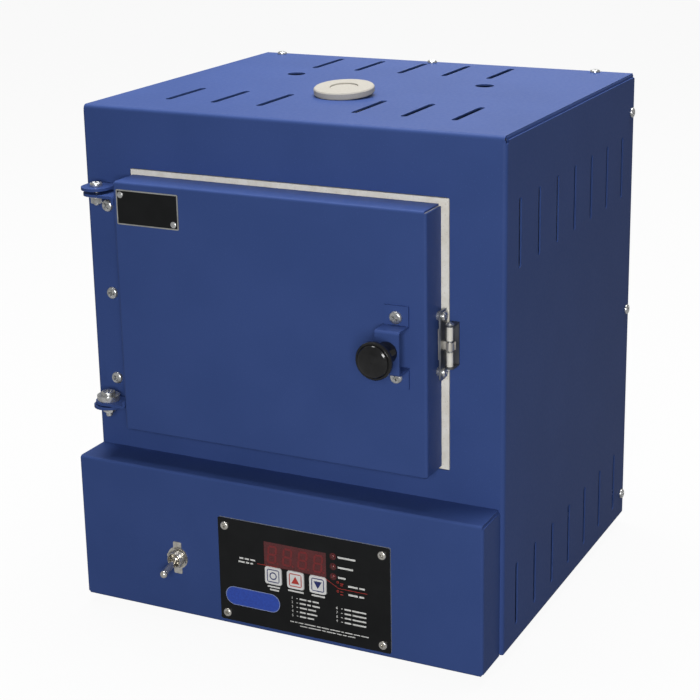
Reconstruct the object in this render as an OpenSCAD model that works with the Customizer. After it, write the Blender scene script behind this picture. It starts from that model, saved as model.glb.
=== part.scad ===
// Bench-top electric kiln: folded steel case, ceramic fibre chamber, side-hinged door
// with a clip-and-roller catch, and a programmable controller in a box across the foot.
// Lengths are in millimetres. The origin is on the bench, under the middle of all that
// stands on it, and the door faces -Y. Inside from_case() x is measured from the left
// side of the case, y from its front plane towards the back, and z from its underside.

/* [Case] */
// Width of the case
case_w = 330; // [320:1:345]
// Depth of the case from its front plane to its back
case_d = 276; // [268:1:300]
// Height of the case without its feet
case_h = 373; // [368:1:390]
// Thickness of the case sheet
sheet_t = 1.2; // [0.9:0.1:1.5]
// Outer radius of the bends at the front of the case
bend_r = 3; // [2.5:0.5:5]
// Height of the rubber feet
foot_h = 8; // [5:1:12]
// Width of a ventilation slot
slot_w = 4.8; // [3:0.2:6]

/* [Control box] */
// Width of the control box
box_w = 326.6; // [322:0.2:328]
// How far the control box stands forward of the case
box_d = 31; // [29:1:36]
// Height of the control box
box_h = 112; // [106:1:118]

/* [Chamber] */
// Clear width of the chamber
chamber_w = 199; // [190:1:202]
// Clear height of the chamber
chamber_h = 142; // [136:1:145]
// Clear depth of the chamber
chamber_d = 203; // [190:1:206]
// Thickness of the fibre walls
wall_t = 25.4; // [23:0.1:26]
// Diameter of the vent in the roof
vent_bore = 26; // [24:1:30]
// How far the vent plug leans forward, as it was put back by hand (degrees)
plug_lean = 5; // [0:1:6]

/* [Door] */
// Width of the door pan
door_w = 243.8; // [236:0.2:245]
// Height of the door pan
door_h = 188; // [182:1:190]
// Distance from the case to the front face of the door
door_d = 25; // [24:1:28]
// Depth of the plug on the door lining
plug_d = 12; // [6:1:16]
// Diameter of the knob
knob_d = 26.4; // [24:0.2:32]

/* [Controls] */
// Width of the control plate
panel_w = 138; // [134:1:142]
// Height of the control plate
panel_h = 81; // [80:1:84]
// Travel of the keys
key_travel = 0.4; // [0.2:0.1:0.4]
// Angle of the toggle lever below level when it is off (degrees)
lever_lean = 16; // [8:1:18]

/* [Hidden] */
$fn = 48;
cut = 1;
fit = 0.2;

// Chamber and its fibre, centred on the door opening
fibre_w = chamber_w + 2 * wall_t;
fibre_h = chamber_h + 2 * wall_t;
fibre_x = 39.4;
fibre_z = 135.5;
board_t = 12.7;
muffle_end = chamber_d + wall_t;
chamber_x = fibre_x + wall_t;
chamber_z = fibre_z + wall_t;
mid_x = fibre_x + fibre_w / 2;
mid_z = fibre_z + fibre_h / 2;
opening_gap = 0.6;
opening_r = 6;
seam = 0.3;

// Heating coils, four rows to a side
coil_d = 7.4;
coil_pitch = 5;
coil_rows = 4;
row_pitch = 32;
coil_start = 34;
coil_end = 168;
coil_inset = 3;
groove_d = 8;
lead_d = 2.4;
lead_end = 252;
bushing_d = 8;
thermo_d = 5;
thermo_reach = 22;
thermo_grip = 12;
thermo_x = mid_x + 30;
thermo_z = mid_z + 42;

// Door pan and the hinge
door_x = 39.9;
door_z = 136.4;
door_y = -door_d;
door_r = 2;
door_gap = 0.5;
lining_gap = 0.4;
pivot_x = 19.5;
pivot_y = -15.5;
bracket_t = 2;
hinge_w = 22;
hinge_bottom = 149;
hinge_top = 317.1;
door_ear_r = 9.5;
door_ear_low = 152;
door_ear_high = 312.8;
bolt_d = 5;
bolt_bore = 5.1;
nut_h = 4.4;
washer_t = 1.4;
upper_washer_z = door_ear_high - bracket_t - fit - washer_t;
wide_washer_t = 1.9;
hinge_screw_mid = 233.4;
hinge_screw_pitch = 66.4;

// Handle, catch and plate on the door
handle_x = 262.1;
handle_z = 229.4;
handle_w = 18;
handle_reach = 16.8;
handle_t = 1.6;
bridge_h = 31.2;
handle_pitch = 42;
knob_z = 230.4;
knob_len = 24.1;
knob_face = 2;
catch_z = 228.6;
catch_h = 49.4;
catch_pitch = 39.6;
catch_x = door_x + door_w;
spacer_t = 3;
catch_y = -6;
pin_x = 293.5;
pin_y = -8.6;
pin_d = 3;
roller_d = 4.4;
roller_h = 9.9;
roller_gap = 8.1;
clip_t = 0.8;
clip_h = 5.7;
clip_arm_y = 1.4;
clip_tail_y = 3.4;
clip_reach = 9;

// Screws
screw_head_d = 9.2;
screw_head_h = 2.6;
screw_d = 4;
small_head_d = 8;
small_head_h = 2.3;

// Ventilation slots, holes and the vent in the top of the case
slot_len = 53;
front_slot_y = 40.3;
rear_slot_y = 211;
rear_slot_shift = -5.4;
first_side_slot = 26;
low_slot_z = 13.8;
high_slot_z = 278.5;
slot_pitch = 38;
side_slot_len = 48.6;
side_slot_pitch = 37.1;
vent_x = 161.6;
vent_y = 103;
sleeve_d = 34;
plug_disc_d = 45;
plug_disc_t = 4.8;
stem_d = 20;
stem_len = 14;

// Edge screws of the back panel
edge_y = case_d - 6;
top_screw_pitch = 140.2;
top_screw_mid = 159.2;
side_screw_low = 20;
side_screw_pitch = 161.5;

// Controls on the front of the control box
box_x = 0.7;
box_t = 1.2;
box_r = 2;
box_return = 16;

// Depth of a cut that goes through one sheet, and where the sheets inside begin
punch = 4;
lining_y = 8;
panel_x = 120.3;
panel_z = 3;
panel_t = 1.5;
panel_y = -box_d - panel_t;
board_x = 122;
board_y = -22.8;
panel_screw_w = 126.2;
panel_screw_h = 69;
display_x = 183;
display_z = 61.8;
display_w = 50.3;
display_h = 19;
key_z = 45.4;
key_x = 165.3;
key_pitch = 18.05;
key_gap = 0.3;
key_w = 13.5;
key_h = 13.4;
led_x = 213.7;
led_z = 54.2;
led_pitch = 7.8;
toggle_x = 84;
toggle_z = 44;
toggle_y = -34;
bushing_reach = 6.5;

// Supply cord gland on the back
gland_x = 288;
gland_z = 36;
gland_bore = 8.6;
gland_len = 21;

// Middle of the whole depth, from the face of the knob to the end of the cord gland
middle_y = (case_d + gland_len - door_d - handle_reach - knob_len) / 2;

// Frames and directions

module from_case() {
    translate([-case_w / 2, -middle_y, foot_h]) children();
}

module along_x(length) {
    rotate([90, 0, 90]) linear_extrude(length) children();
}

module along_y(length) {
    translate([0, length, 0]) rotate([90, 0, 0]) linear_extrude(length) children();
}

module facing_front() {
    rotate([90, 0, 0]) children();
}

module facing_back() {
    rotate([-90, 0, 0]) children();
}

module facing_right() {
    rotate([0, 90, 0]) children();
}

module facing_left() {
    rotate([0, -90, 0]) children();
}

module facing_down() {
    rotate([180, 0, 0]) children();
}

// Shared outlines and solids

// Rectangle with round corners
module round_rect(w, h, r) {
    translate([r, 0]) square([w - 2 * r, h]);
    translate([0, r]) square([w, h - 2 * r]);
    for (x = [r, w - r], y = [r, h - r]) translate([x, y]) circle(r);
}

// Slot with round ends, standing on its lower end
module slot_outline(length, width) {
    r = width / 2;
    translate([-r, r]) square([width, length - width]);
    for (y = [r, length - r]) translate([0, y]) circle(r);
}

// Sheet folded at a right angle, with the outer corner at the origin
module fold_outline(a, b, r, t) {
    difference() {
        union() {
            translate([r, 0]) square([a - r, t]);
            translate([0, r]) square([t, b - r]);
            intersection() {
                translate([r, r]) circle(r);
                square(r);
            }
        }
        translate([r, r]) circle(r - t);
    }
}

// Plan of a front with two sides, open at the back
module wrap_outline(w, d, r, t) {
    difference() {
        front_rounded(w, d, r);
        translate([t, t]) front_rounded(w - 2 * t, d, r - t);
    }
}

module front_rounded(w, d, r) {
    translate([0, r]) square([w, d - r]);
    translate([r, 0]) square([w - 2 * r, r]);
    for (x = [r, w - r]) translate([x, r]) circle(r);
}

// Cover folded from one blank: front, sides, and a top with lips tucked inside the sides
module folded_cover(w, d, h, r, t, low) {
    lip = 14;
    lip_r = 1.8;
    corner = 0.55 * r;
    translate([0, 0, low]) linear_extrude(h - r - low) wrap_outline(w, d, r, t);
    translate([corner, 0, h]) mirror([0, 0, 1])
        along_x(w - 2 * corner) fold_outline(d, r + t, r, t);
    translate([t, r + t, h]) mirror([0, 0, 1])
        along_y(d - r - t) lip_outline(w - 2 * t, lip, lip_r, t);
}

module lip_outline(w, h, r, t) {
    fold_outline(w / 2, h, r, t);
    translate([w, 0]) mirror([1, 0]) fold_outline(w / 2, h, r, t);
}

// Pan-head screw with its seat at the origin and its head up
module pan_screw(d, head_d, head_h, length) {
    dome_r = 0.72 * head_d;
    translate([0, 0, -length]) cylinder(d = d, h = length);
    rotate_extrude() intersection() {
        translate([0, head_h - dome_r]) circle(dome_r);
        square([head_d / 2, head_h]);
    }
}

// Hexagon across its flats
module hexagon(flats, h) {
    cylinder(d = flats / cos(30), h = h, $fn = 6);
}

module washer(outer, bore, h) {
    difference() {
        cylinder(d = outer, h = h);
        translate([0, 0, -cut]) cylinder(d = bore, h = h + 2 * cut);
    }
}

// Steel case

module top_slots() {
    for (i = [-3:3]) {
        if (i != 0) {
            translate([vent_x + i * slot_pitch, front_slot_y]) slot_outline(slot_len, slot_w);
        }
    }
    for (i = [-2:2]) {
        translate([vent_x + rear_slot_shift + i * slot_pitch, rear_slot_y])
            slot_outline(slot_len, slot_w);
    }
}

module top_holes() {
    hole_d = 14.3;
    hole_y = 179.3;
    hole_reach = 80.6;
    for (side = [-1, 1]) translate([vent_x + side * hole_reach, hole_y]) circle(d = hole_d);
    translate([vent_x, vent_y]) circle(d = sleeve_d + 2 * fit);
}

module side_slots() {
    for (i = [0:6], z = [low_slot_z, high_slot_z]) {
        translate([first_side_slot + i * side_slot_pitch, z]) slot_outline(side_slot_len, slot_w);
    }
}

module edge_screws_at() {
    for (i = [-1:1]) translate([top_screw_mid + i * top_screw_pitch, edge_y, case_h]) children();
    for (i = [0:2]) {
        translate([case_w, edge_y, side_screw_low + i * side_screw_pitch]) facing_right() children();
        translate([0, edge_y, side_screw_low + i * side_screw_pitch]) facing_left() children();
    }
}

module hinge_screws_at(y) {
    for (i = [-1:1]) {
        translate([pivot_x, y, hinge_screw_mid + i * hinge_screw_pitch]) facing_front() children();
    }
}

module case_shell() {
    window_x = 24;
    window_z = 16;
    window_h = 84;
    flange = 16;
    flange_r = 2.4;
    rear_chamfer = 6;
    color("#3c5290") from_case() difference() {
        union() {
            folded_cover(case_w, case_d, case_h, bend_r, sheet_t, flange_r);
            for (side = [0, 1]) {
                translate([side * case_w, bend_r, 0]) mirror([side, 0, 0])
                    along_y(case_d - bend_r) fold_outline(flange, flange_r + sheet_t, flange_r, sheet_t);
            }
        }
        // Door opening and the window behind the control box
        translate([fibre_x - opening_gap, -cut, fibre_z - opening_gap])
            along_y(punch) round_rect(fibre_w + 2 * opening_gap, fibre_h + 2 * opening_gap, 2);
        translate([window_x, -cut, window_z])
            along_y(punch) round_rect(case_w - 2 * window_x, window_h, 4);
        // Ventilation in the top and the sides
        translate([0, 0, case_h - punch]) linear_extrude(2 * punch) {
            top_slots();
            top_holes();
        }
        translate([-cut, 0, 0]) along_x(case_w + 2 * cut) side_slots();
        // Screw holes
        edge_screws_at() translate([0, 0, -punch]) cylinder(d = screw_d + fit, h = 2 * punch);
        hinge_screws_at(0) translate([0, 0, -punch]) cylinder(d = screw_d + fit, h = 2 * punch);
        foot_screws_at() cylinder(d = screw_d + fit, h = 2 * punch, center = true);
        // Relief holes at the top corners and clipped rear corners of the sides
        for (side = [0, 1]) {
            translate([side * case_w, 0, case_h - 3.7]) mirror([side, 0, 0])
                translate([0, 2, 0]) rotate([0, 90, 45]) cylinder(d = 3.2, h = 2 * punch, center = true);
        }
        for (x = [-cut, case_w - sheet_t]) {
            translate([x, case_d, case_h - rear_chamfer / sqrt(2)]) rotate([45, 0, 0])
                cube([sheet_t + cut, rear_chamfer, rear_chamfer]);
        }
    }
}

module control_box() {
    h = box_h + box_t;
    window_x = panel_x + 14;
    window_z = panel_z + 12;
    color("#3c5290") from_case() difference() {
        union() {
            translate([box_x, -box_d, -box_t])
                folded_cover(box_w, box_d, h, box_r, box_t, box_r);
            translate([box_x + box_r, -box_d, -box_t])
                along_x(box_w - 2 * box_r) fold_outline(box_d + box_return, box_r + box_t, box_r, box_t);
        }
        translate([window_x, -box_d - cut, window_z])
            along_y(punch) round_rect(panel_w - 28, panel_h - 22, 3);
        panel_screws_at() translate([0, 0, -punch]) cylinder(d = 3.5, h = 2 * punch);
        translate([toggle_x, -box_d - cut, toggle_z]) facing_back() cylinder(d = 12.2, h = punch);
        box_screws_at() cylinder(d = screw_d + fit, h = 2 * punch, center = true);
    }
}

module box_screws_at() {
    for (i = [-1:1]) translate([case_w / 2 + i * 105, 10, 0]) children();
}

module back_panel() {
    lip = 11.5;
    r = 2.4;
    z0 = 2 * sheet_t;
    x0 = sheet_t;
    w = case_w - 2 * x0;
    h = case_h - sheet_t - z0;
    side_h = case_h - 20 - z0;
    color("#3c5290") from_case() difference() {
        union() {
            // Back sheet with its lips turned forward
            translate([x0 + r, case_d - sheet_t, z0 + r]) cube([w - 2 * r, sheet_t, h - 2 * r]);
            translate([x0 + 2 * r, case_d, z0 + h]) mirror([0, 1, 0]) mirror([0, 0, 1])
                along_x(w - 4 * r) fold_outline(lip, 2 * r, r, sheet_t);
            translate([x0 + 2 * r, case_d, z0]) mirror([0, 1, 0])
                along_x(w - 4 * r) fold_outline(lip, 2 * r, r, sheet_t);
            for (side = [0, 1]) {
                translate([side * case_w, case_d, z0 + r]) mirror([side, 0, 0]) mirror([0, 1, 0])
                    translate([x0, 0, 0]) linear_extrude(side_h - r) fold_outline(2 * r, lip, r, sheet_t);
            }
        }
        edge_screws_at() translate([0, 0, -2 * punch]) cylinder(d = screw_d + fit, h = 4 * punch);
        translate([0, case_d - punch, 0]) along_y(2 * punch) back_slots();
        translate([gland_x, case_d - punch, gland_z]) facing_back() cylinder(d = 15.4, h = 2 * punch);
    }
}

module back_slots() {
    for (i = [-3:3]) translate([case_w / 2 + i * slot_pitch, 279]) slot_outline(side_slot_len, slot_w);
    for (i = [-3:2]) translate([case_w / 2 + i * slot_pitch, 14]) slot_outline(side_slot_len, slot_w);
}

module back_panel_screws() {
    color("#b9b6ad") from_case() edge_screws_at() pan_screw(screw_d, small_head_d, small_head_h, 9);
}

module base_panel() {
    side_gap = 3;
    back_gap = 6;
    color("#3c5290") from_case() difference() {
        translate([side_gap, bend_r, sheet_t])
            cube([case_w - 2 * side_gap, case_d - bend_r - back_gap, sheet_t]);
        foot_screws_at() cylinder(d = screw_d + fit, h = 4 * punch, center = true);
        box_screws_at() cylinder(d = screw_d + fit, h = 4 * punch, center = true);
        for (i = [-3:3]) {
            translate([case_w / 2 + i * 30, 60, 0]) linear_extrude(2 * punch) slot_outline(90, 6);
        }
    }
}

module underside_screws() {
    color("#b9b6ad") from_case() {
        box_screws_at() translate([0, 0, -box_t])
            facing_down() pan_screw(screw_d, small_head_d, small_head_h, 9);
        foot_screws_at() translate([0, 0, -foot_h / 2])
            facing_down() pan_screw(screw_d, small_head_d, small_head_h, 11);
    }
}

module foot_screws_at() {
    for (x = [35, case_w - 35], y = [32, case_d - 32]) translate([x, y, 0]) children();
}

module feet() {
    color("#26262a") from_case() foot_screws_at() facing_down() difference() {
        cylinder(d1 = 24, d2 = 20, h = foot_h);
        translate([0, 0, foot_h / 2]) cylinder(d = small_head_d + 1, h = foot_h);
        translate([0, 0, -cut]) cylinder(d = screw_d + fit, h = 2 * foot_h);
    }
}

// Chamber of ceramic fibre

module front_board() {
    color("#ece8dd") from_case() difference() {
        translate([fibre_x, 0, fibre_z]) cube([fibre_w, board_t, fibre_h]);
        translate([chamber_x, -cut, chamber_z])
            along_y(board_t + 2 * cut) round_rect(chamber_w, chamber_h, opening_r);
    }
}

// Runs of the children along a heating coil: straight rows first, then the turns
module coil_rows_at(x) {
    for (i = [0:coil_rows - 1]) {
        translate([x, coil_start, mid_z + (i - (coil_rows - 1) / 2) * row_pitch]) children();
    }
}

module coil_turns(x, d) {
    for (i = [0:coil_rows - 2]) {
        front = i % 2 == 0;
        z = mid_z + (i + 1 - coil_rows / 2) * row_pitch;
        translate([x, front ? coil_start : coil_end, z]) rotate([0, 90, 0]) rotate(front ? 180 : 0)
            rotate_extrude(angle = 180) translate([row_pitch / 2, 0]) circle(d = d);
    }
}

module lead_ends_at(x) {
    for (i = [0, coil_rows - 1]) {
        translate([x, coil_end, mid_z + (i - (coil_rows - 1) / 2) * row_pitch]) children();
    }
}

// Floor, back and side boards of the chamber, with open seams between them
module muffle() {
    side_h = chamber_h - 2 * seam;
    color("#efece3") from_case() difference() {
        union() {
            translate([fibre_x, board_t, fibre_z]) cube([fibre_w, muffle_end - board_t, wall_t]);
            translate([fibre_x, chamber_d, chamber_z + seam]) cube([fibre_w, wall_t, side_h]);
            for (x = [fibre_x, chamber_x + chamber_w]) {
                translate([x, board_t, chamber_z + seam])
                    cube([wall_t, chamber_d - seam - board_t, side_h]);
            }
        }
        for (x = coil_centres()) {
            coil_rows_at(x) facing_back() cylinder(d = groove_d, h = coil_end - coil_start);
            coil_turns(x, groove_d);
            lead_ends_at(x) facing_back() cylinder(d = bushing_d + fit, h = case_d);
        }
        translate([thermo_x, chamber_d / 2, thermo_z])
            facing_back() cylinder(d = thermo_d + fit, h = case_d);
    }
}

module muffle_roof() {
    color("#efece3") from_case() difference() {
        translate([fibre_x, board_t, chamber_z + chamber_h])
            cube([fibre_w, muffle_end - board_t, wall_t]);
        translate([vent_x, vent_y, mid_z]) cylinder(d = sleeve_d + 2 * fit, h = fibre_h);
    }
}

function coil_centres() = [chamber_x - coil_inset, chamber_x + chamber_w + coil_inset];

// Ridged rod with the outline of a close-wound coil
module coil_row() {
    turns = floor((coil_end - coil_start) / coil_pitch);
    valley = coil_d / 2 - 1.3;
    ridge = coil_d / 2;
    pitch = (coil_end - coil_start) / turns;
    points = [for (i = [0:turns - 1]) each [[valley, i * pitch], [ridge, (i + 0.5) * pitch]]];
    facing_back() rotate_extrude()
        polygon(concat([[0, 0]], points, [[valley, turns * pitch], [0, turns * pitch]]));
}

module element(x) {
    sag = 0.25;
    color("#8d8f93") from_case() translate([0, 0, -sag]) {
        coil_rows_at(x) coil_row();
        coil_turns(x, coil_d - 2.6);
        lead_ends_at(x) facing_back() cylinder(d = lead_d, h = lead_end - coil_end);
    }
}

module element_left() {
    element(coil_centres()[0]);
}

module element_right() {
    element(coil_centres()[1]);
}

module terminal_bushings() {
    color("#f3efe6") from_case() for (x = coil_centres()) lead_ends_at(x)
        translate([0, chamber_d + 4 - coil_end, 0]) facing_back() difference() {
            union() {
                cylinder(d = bushing_d, h = wall_t + 8);
                translate([0, 0, wall_t - 4]) cylinder(d = bushing_d + 5, h = 3);
            }
            translate([0, 0.25, -cut]) cylinder(d = lead_d + fit, h = wall_t + 20);
        }
}

module element_terminals() {
    color("#c9b36a") from_case() for (x = coil_centres()) lead_ends_at(x)
        translate([0, chamber_d + wall_t + 13 - coil_end, -0.25]) facing_back() {
            difference() {
                cylinder(d = 7, h = 12);
                translate([0, 0, -cut]) cylinder(d = lead_d + fit, h = 20);
                translate([0, 0, 6]) rotate([0, 90, 0]) cylinder(d = 3, h = 6);
            }
            translate([1.5, 0, 6]) rotate([0, 90, 0]) cylinder(d = 2.8, h = 3.4);
        }
}

module thermocouple() {
    length = wall_t + thermo_reach + thermo_grip - thermo_d / 2;
    color("#d9d4c8") from_case() translate([thermo_x, chamber_d - thermo_reach, thermo_z]) facing_back() {
        rotate_extrude() union() {
            translate([0, thermo_d / 2]) square([thermo_d / 2, length]);
            intersection() {
                translate([0, thermo_d / 2]) circle(d = thermo_d);
                square([thermo_d / 2, thermo_d / 2]);
            }
        }
    }
}

module thermocouple_block() {
    block_d = 16;
    color("#e4ded0") from_case() translate([thermo_x, muffle_end, thermo_z]) difference() {
        translate([-14, 0, -9]) cube([28, block_d, 18]);
        translate([0, -cut, 0]) facing_back() cylinder(d = thermo_d + fit, h = thermo_grip + cut);
        for (x = [-8, 8]) translate([x, block_d / 2, 0]) facing_back() cylinder(d = 4, h = block_d);
    }
}

module muffle_tray() {
    lip = 12;
    top = fibre_z;
    tray_d = muffle_end + sheet_t - lining_y;
    half_w = case_w / 2 - sheet_t;
    color("#a9acb0") from_case() {
        for (side = [0, 1]) {
            translate([side * case_w, lining_y, top]) mirror([side, 0, 0]) mirror([0, 0, 1])
                translate([sheet_t, 0, 0]) along_y(tray_d) fold_outline(half_w, lip, 2.4, sheet_t);
        }
        translate([fibre_x, muffle_end, top - sheet_t]) cube([fibre_w, sheet_t, lip + sheet_t]);
    }
}

module heat_shield() {
    lip = 12;
    top = 121;
    shield_d = muffle_end - lining_y;
    half_w = case_w / 2 - sheet_t;
    color("#b4b7bb") from_case() for (side = [0, 1]) {
        translate([side * case_w, lining_y, top]) mirror([side, 0, 0]) mirror([0, 0, 1])
            translate([sheet_t, 0, 0]) along_y(shield_d) fold_outline(half_w, lip, 2.4, sheet_t);
    }
}

// Ceramic tube from the chamber, through the roof board, to the top of the case
module vent_sleeve() {
    low = chamber_z + chamber_h;
    color("#ece8dd") from_case() translate([vent_x, vent_y, low]) difference() {
        cylinder(d = sleeve_d, h = case_h - low - 0.3);
        translate([0, 0, -cut]) cylinder(d = vent_bore, h = case_h);
    }
}

module vent_plug() {
    recess_d = 21;
    edge = 0.8;
    r = plug_disc_d / 2;
    color("#f1eee6") from_case() translate([vent_x, vent_y - r, case_h + 0.05]) rotate([plug_lean, 0, 0])
        translate([0, r, 0]) difference() {
            union() {
                cylinder(d1 = plug_disc_d - edge, d2 = plug_disc_d, h = edge);
                translate([0, 0, edge]) cylinder(d = plug_disc_d, h = plug_disc_t - 2 * edge);
                translate([0, 0, plug_disc_t - edge])
                    cylinder(d1 = plug_disc_d, d2 = plug_disc_d - 2 * edge, h = edge);
                translate([0, 0, -stem_len]) cylinder(d1 = stem_d - 2, d2 = stem_d, h = stem_len);
            }
            translate([0, 0, plug_disc_t - 1]) cylinder(d = recess_d, h = 2);
        }
}

// Hinge: a bracket with two ears on the case, another on the door between them

module ear_plan(r, reach) {
    circle(r);
    translate([-r, 0]) square([2 * r, reach]);
}

module case_hinge_bracket() {
    ear_r = hinge_w / 2;
    bend = 3;
    reach = -pivot_y;
    color("#3c5290") from_case() difference() {
        union() {
            translate([pivot_x - ear_r, -bracket_t, hinge_bottom + bend])
                cube([hinge_w, bracket_t, hinge_top - hinge_bottom - 2 * bend]);
            for (high = [0, 1]) {
                translate([0, 0, high * hinge_top + (1 - high) * hinge_bottom]) mirror([0, 0, high]) {
                    translate([pivot_x - ear_r, 0, 0]) mirror([0, 1, 0])
                        along_x(hinge_w) fold_outline(reach, 2 * bend, bend, bracket_t);
                    translate([pivot_x, pivot_y, 0]) linear_extrude(bracket_t) ear_plan(ear_r, reach / 2);
                }
            }
        }
        translate([pivot_x, pivot_y, 0]) cylinder(d = bolt_bore, h = case_h);
        hinge_screws_at(0) translate([0, 0, -cut]) cylinder(d = screw_d + fit, h = 2 * punch);
    }
}

module hinge_bracket_screws() {
    color("#b9b6ad") from_case() hinge_screws_at(-bracket_t)
        pan_screw(screw_d, screw_head_d, screw_head_h, 8);
}

module door_hinge_bracket() {
    bend = 3;
    relief = 4;
    web_x = door_x - bracket_t;
    reach = web_x - pivot_x;
    color("#3c5290") from_case() difference() {
        union() {
            translate([web_x, pivot_y - door_ear_r + relief, door_ear_low + bend])
                cube([bracket_t, 2 * door_ear_r - relief, door_ear_high - door_ear_low - 2 * bend]);
            for (high = [0, 1]) {
                translate([0, 0, high * door_ear_high + (1 - high) * door_ear_low]) mirror([0, 0, high]) {
                    translate([door_x, pivot_y - door_ear_r, 0]) mirror([1, 0, 0])
                        along_y(2 * door_ear_r) fold_outline(reach, 2 * bend, bend, bracket_t);
                    translate([pivot_x, pivot_y, 0]) rotate(-90)
                        linear_extrude(bracket_t) ear_plan(door_ear_r, reach / 2);
                }
            }
        }
        translate([pivot_x, pivot_y, 0]) cylinder(d = bolt_bore, h = case_h);
        bracket_rivets_at() cylinder(d = screw_d + fit, h = 4 * bracket_t, center = true);
    }
}

module bracket_rivets_at() {
    for (i = [-1:1]) translate([door_x - bracket_t, pivot_y, door_z + door_h / 2 + i * 60])
        facing_left() children();
}

module hinge_bolts() {
    top_len = 14;
    low_len = 17;
    stack = 2 * wide_washer_t;
    color("#b9b6ad") from_case() {
        translate([pivot_x, pivot_y, hinge_top]) pan_screw(bolt_d, screw_head_d, 2.8, top_len);
        translate([pivot_x, pivot_y, door_ear_low + bracket_t + stack])
            pan_screw(bolt_d, 10.8, 2.8, low_len);
    }
}

module hinge_nuts() {
    color("#b9b6ad") from_case() for (z = [upper_washer_z - nut_h, hinge_bottom - nut_h]) {
        translate([pivot_x, pivot_y, z]) difference() {
            hexagon(8, nut_h);
            translate([0, 0, -cut]) cylinder(d = bolt_d + 0.02, h = nut_h + 2 * cut);
        }
    }
}

module hinge_washers() {
    wide_d = 17;
    color("#b9b6ad") from_case() translate([pivot_x, pivot_y, 0]) {
        translate([0, 0, upper_washer_z]) washer(11.5, bolt_bore, washer_t);
        translate([0, 0, hinge_bottom + bracket_t]) washer(12, bolt_bore, 0.9);
        for (i = [0, 1]) translate([0, 0, door_ear_low + bracket_t + i * wide_washer_t])
            washer(wide_d, bolt_bore, wide_washer_t);
    }
}

// Door: folded pan with open corner seams, lined with fibre

module door_pan() {
    c = 1.6;
    depth = door_d - door_gap;
    color("#3c5290") from_case() difference() {
        translate([door_x, door_y, door_z]) {
            translate([door_r, 0, door_r]) cube([door_w - 2 * door_r, sheet_t, door_h - 2 * door_r]);
            for (high = [0, 1]) {
                translate([c, 0, high * door_h]) mirror([0, 0, high])
                    along_x(door_w - 2 * c) fold_outline(depth, 2 * door_r, door_r, sheet_t);
            }
            for (side = [0, 1]) {
                translate([side * door_w, 0, c]) mirror([side, 0, 0])
                    linear_extrude(door_h - 2 * c) fold_outline(2 * door_r, depth, door_r, sheet_t);
            }
        }
        handle_screws_at() cylinder(d = screw_d + fit, h = 3 * punch, center = true);
        bracket_rivets_at() cylinder(d = screw_d + fit, h = 3 * punch, center = true);
        nameplate_rivets_at() cylinder(d = 3 + fit, h = 3 * punch, center = true);
        catch_screws_at() cylinder(d = 3 + fit, h = 3 * punch, center = true);
    }
}

module door_lining() {
    pan_gap = 0.3;
    inset = sheet_t + pan_gap;
    side_gap = 2.5;
    taper = 3;
    depth = door_d - inset - lining_gap;
    color("#efece3") from_case() difference() {
        union() {
            translate([door_x + inset, door_y + inset, door_z + inset])
                cube([door_w - 2 * inset, depth, door_h - 2 * inset]);
            translate([chamber_x + side_gap, -lining_gap, chamber_z + side_gap]) hull() {
                translate([0, -2, 0]) cube([chamber_w - 2 * side_gap, 2, chamber_h - 2 * side_gap]);
                translate([taper, plug_d - 1, taper])
                    cube([chamber_w - 2 * side_gap - 2 * taper, 1, chamber_h - 2 * side_gap - 2 * taper]);
            }
        }
        // Pockets for the tails of screws and rivets
        handle_screws_at() cylinder(d = screw_d + 1, h = 24, center = true);
        bracket_rivets_at() cylinder(d = screw_d + 3, h = 24, center = true);
        nameplate_rivets_at() cylinder(d = 6, h = 14, center = true);
        catch_screws_at() cylinder(d = 5, h = 24, center = true);
    }
}

// Blind rivet with its seat at the origin, its head up and its set tail below the grip
module rivet(d, head_d, head_h, grip) {
    tail = 1.6;
    rotate_extrude() intersection() {
        translate([0, head_h - head_d]) circle(head_d);
        square([head_d / 2, head_h]);
    }
    translate([0, 0, -grip]) cylinder(d = d, h = grip);
    translate([0, 0, -grip - tail]) cylinder(d = 1.3 * d, h = tail);
}

module door_rivets() {
    grip = bracket_t + sheet_t;
    color("#b9b6ad") from_case() {
        bracket_rivets_at() rivet(screw_d, 7.5, 1.6, grip);
        nameplate_rivets_at() translate([0, 0, 0.5]) rivet(3, 4.6, 1.2, 0.5 + sheet_t);
    }
}

module nameplate_rivets_at() {
    for (p = [[46.6, 315.2], [90.1, 297.2]]) translate([p[0], door_y, p[1]]) facing_front() children();
}

module nameplate() {
    color("#17181a") from_case() difference() {
        translate([42.9, door_y - 0.5, 293.4]) along_y(0.5) round_rect(51.2, 25.6, 1);
        nameplate_rivets_at() cylinder(d = 3 + fit, h = 4, center = true);
    }
}

// Handle: a hat-shaped bracket that holds the knob off the door

module handle_outline() {
    r = 2.2;
    foot = 13.5;
    half = bridge_h / 2;
    t = handle_t;
    reach = handle_reach;
    for (side = [0, 1]) mirror([0, side]) {
        translate([-reach, half]) mirror([0, 1]) fold_outline(reach, half, r, t);
        translate([-t, half - t]) square([t, foot + t]);
    }
}

module handle_screws_at() {
    for (side = [-1, 1]) translate([handle_x, door_y, handle_z + side * handle_pitch / 2])
        facing_front() children();
}

module handle_bracket() {
    color("#3c5290") from_case() difference() {
        translate([handle_x - handle_w / 2, door_y, handle_z]) along_x(handle_w) handle_outline();
        handle_screws_at() cylinder(d = screw_d + fit, h = 8, center = true);
        translate([handle_x, door_y - handle_reach - cut, knob_z])
            facing_back() cylinder(d = bolt_d + fit, h = 2 * handle_t + cut);
    }
}

module handle_screws() {
    color("#b9b6ad") from_case() {
        handle_screws_at() translate([0, 0, handle_t]) pan_screw(screw_d, screw_head_d, screw_head_h, 10);
        // Screw that holds the knob, from inside the bracket
        translate([handle_x, door_y - handle_reach + handle_t, knob_z])
            facing_back() pan_screw(bolt_d, screw_head_d, screw_head_h, 13);
    }
}

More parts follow.
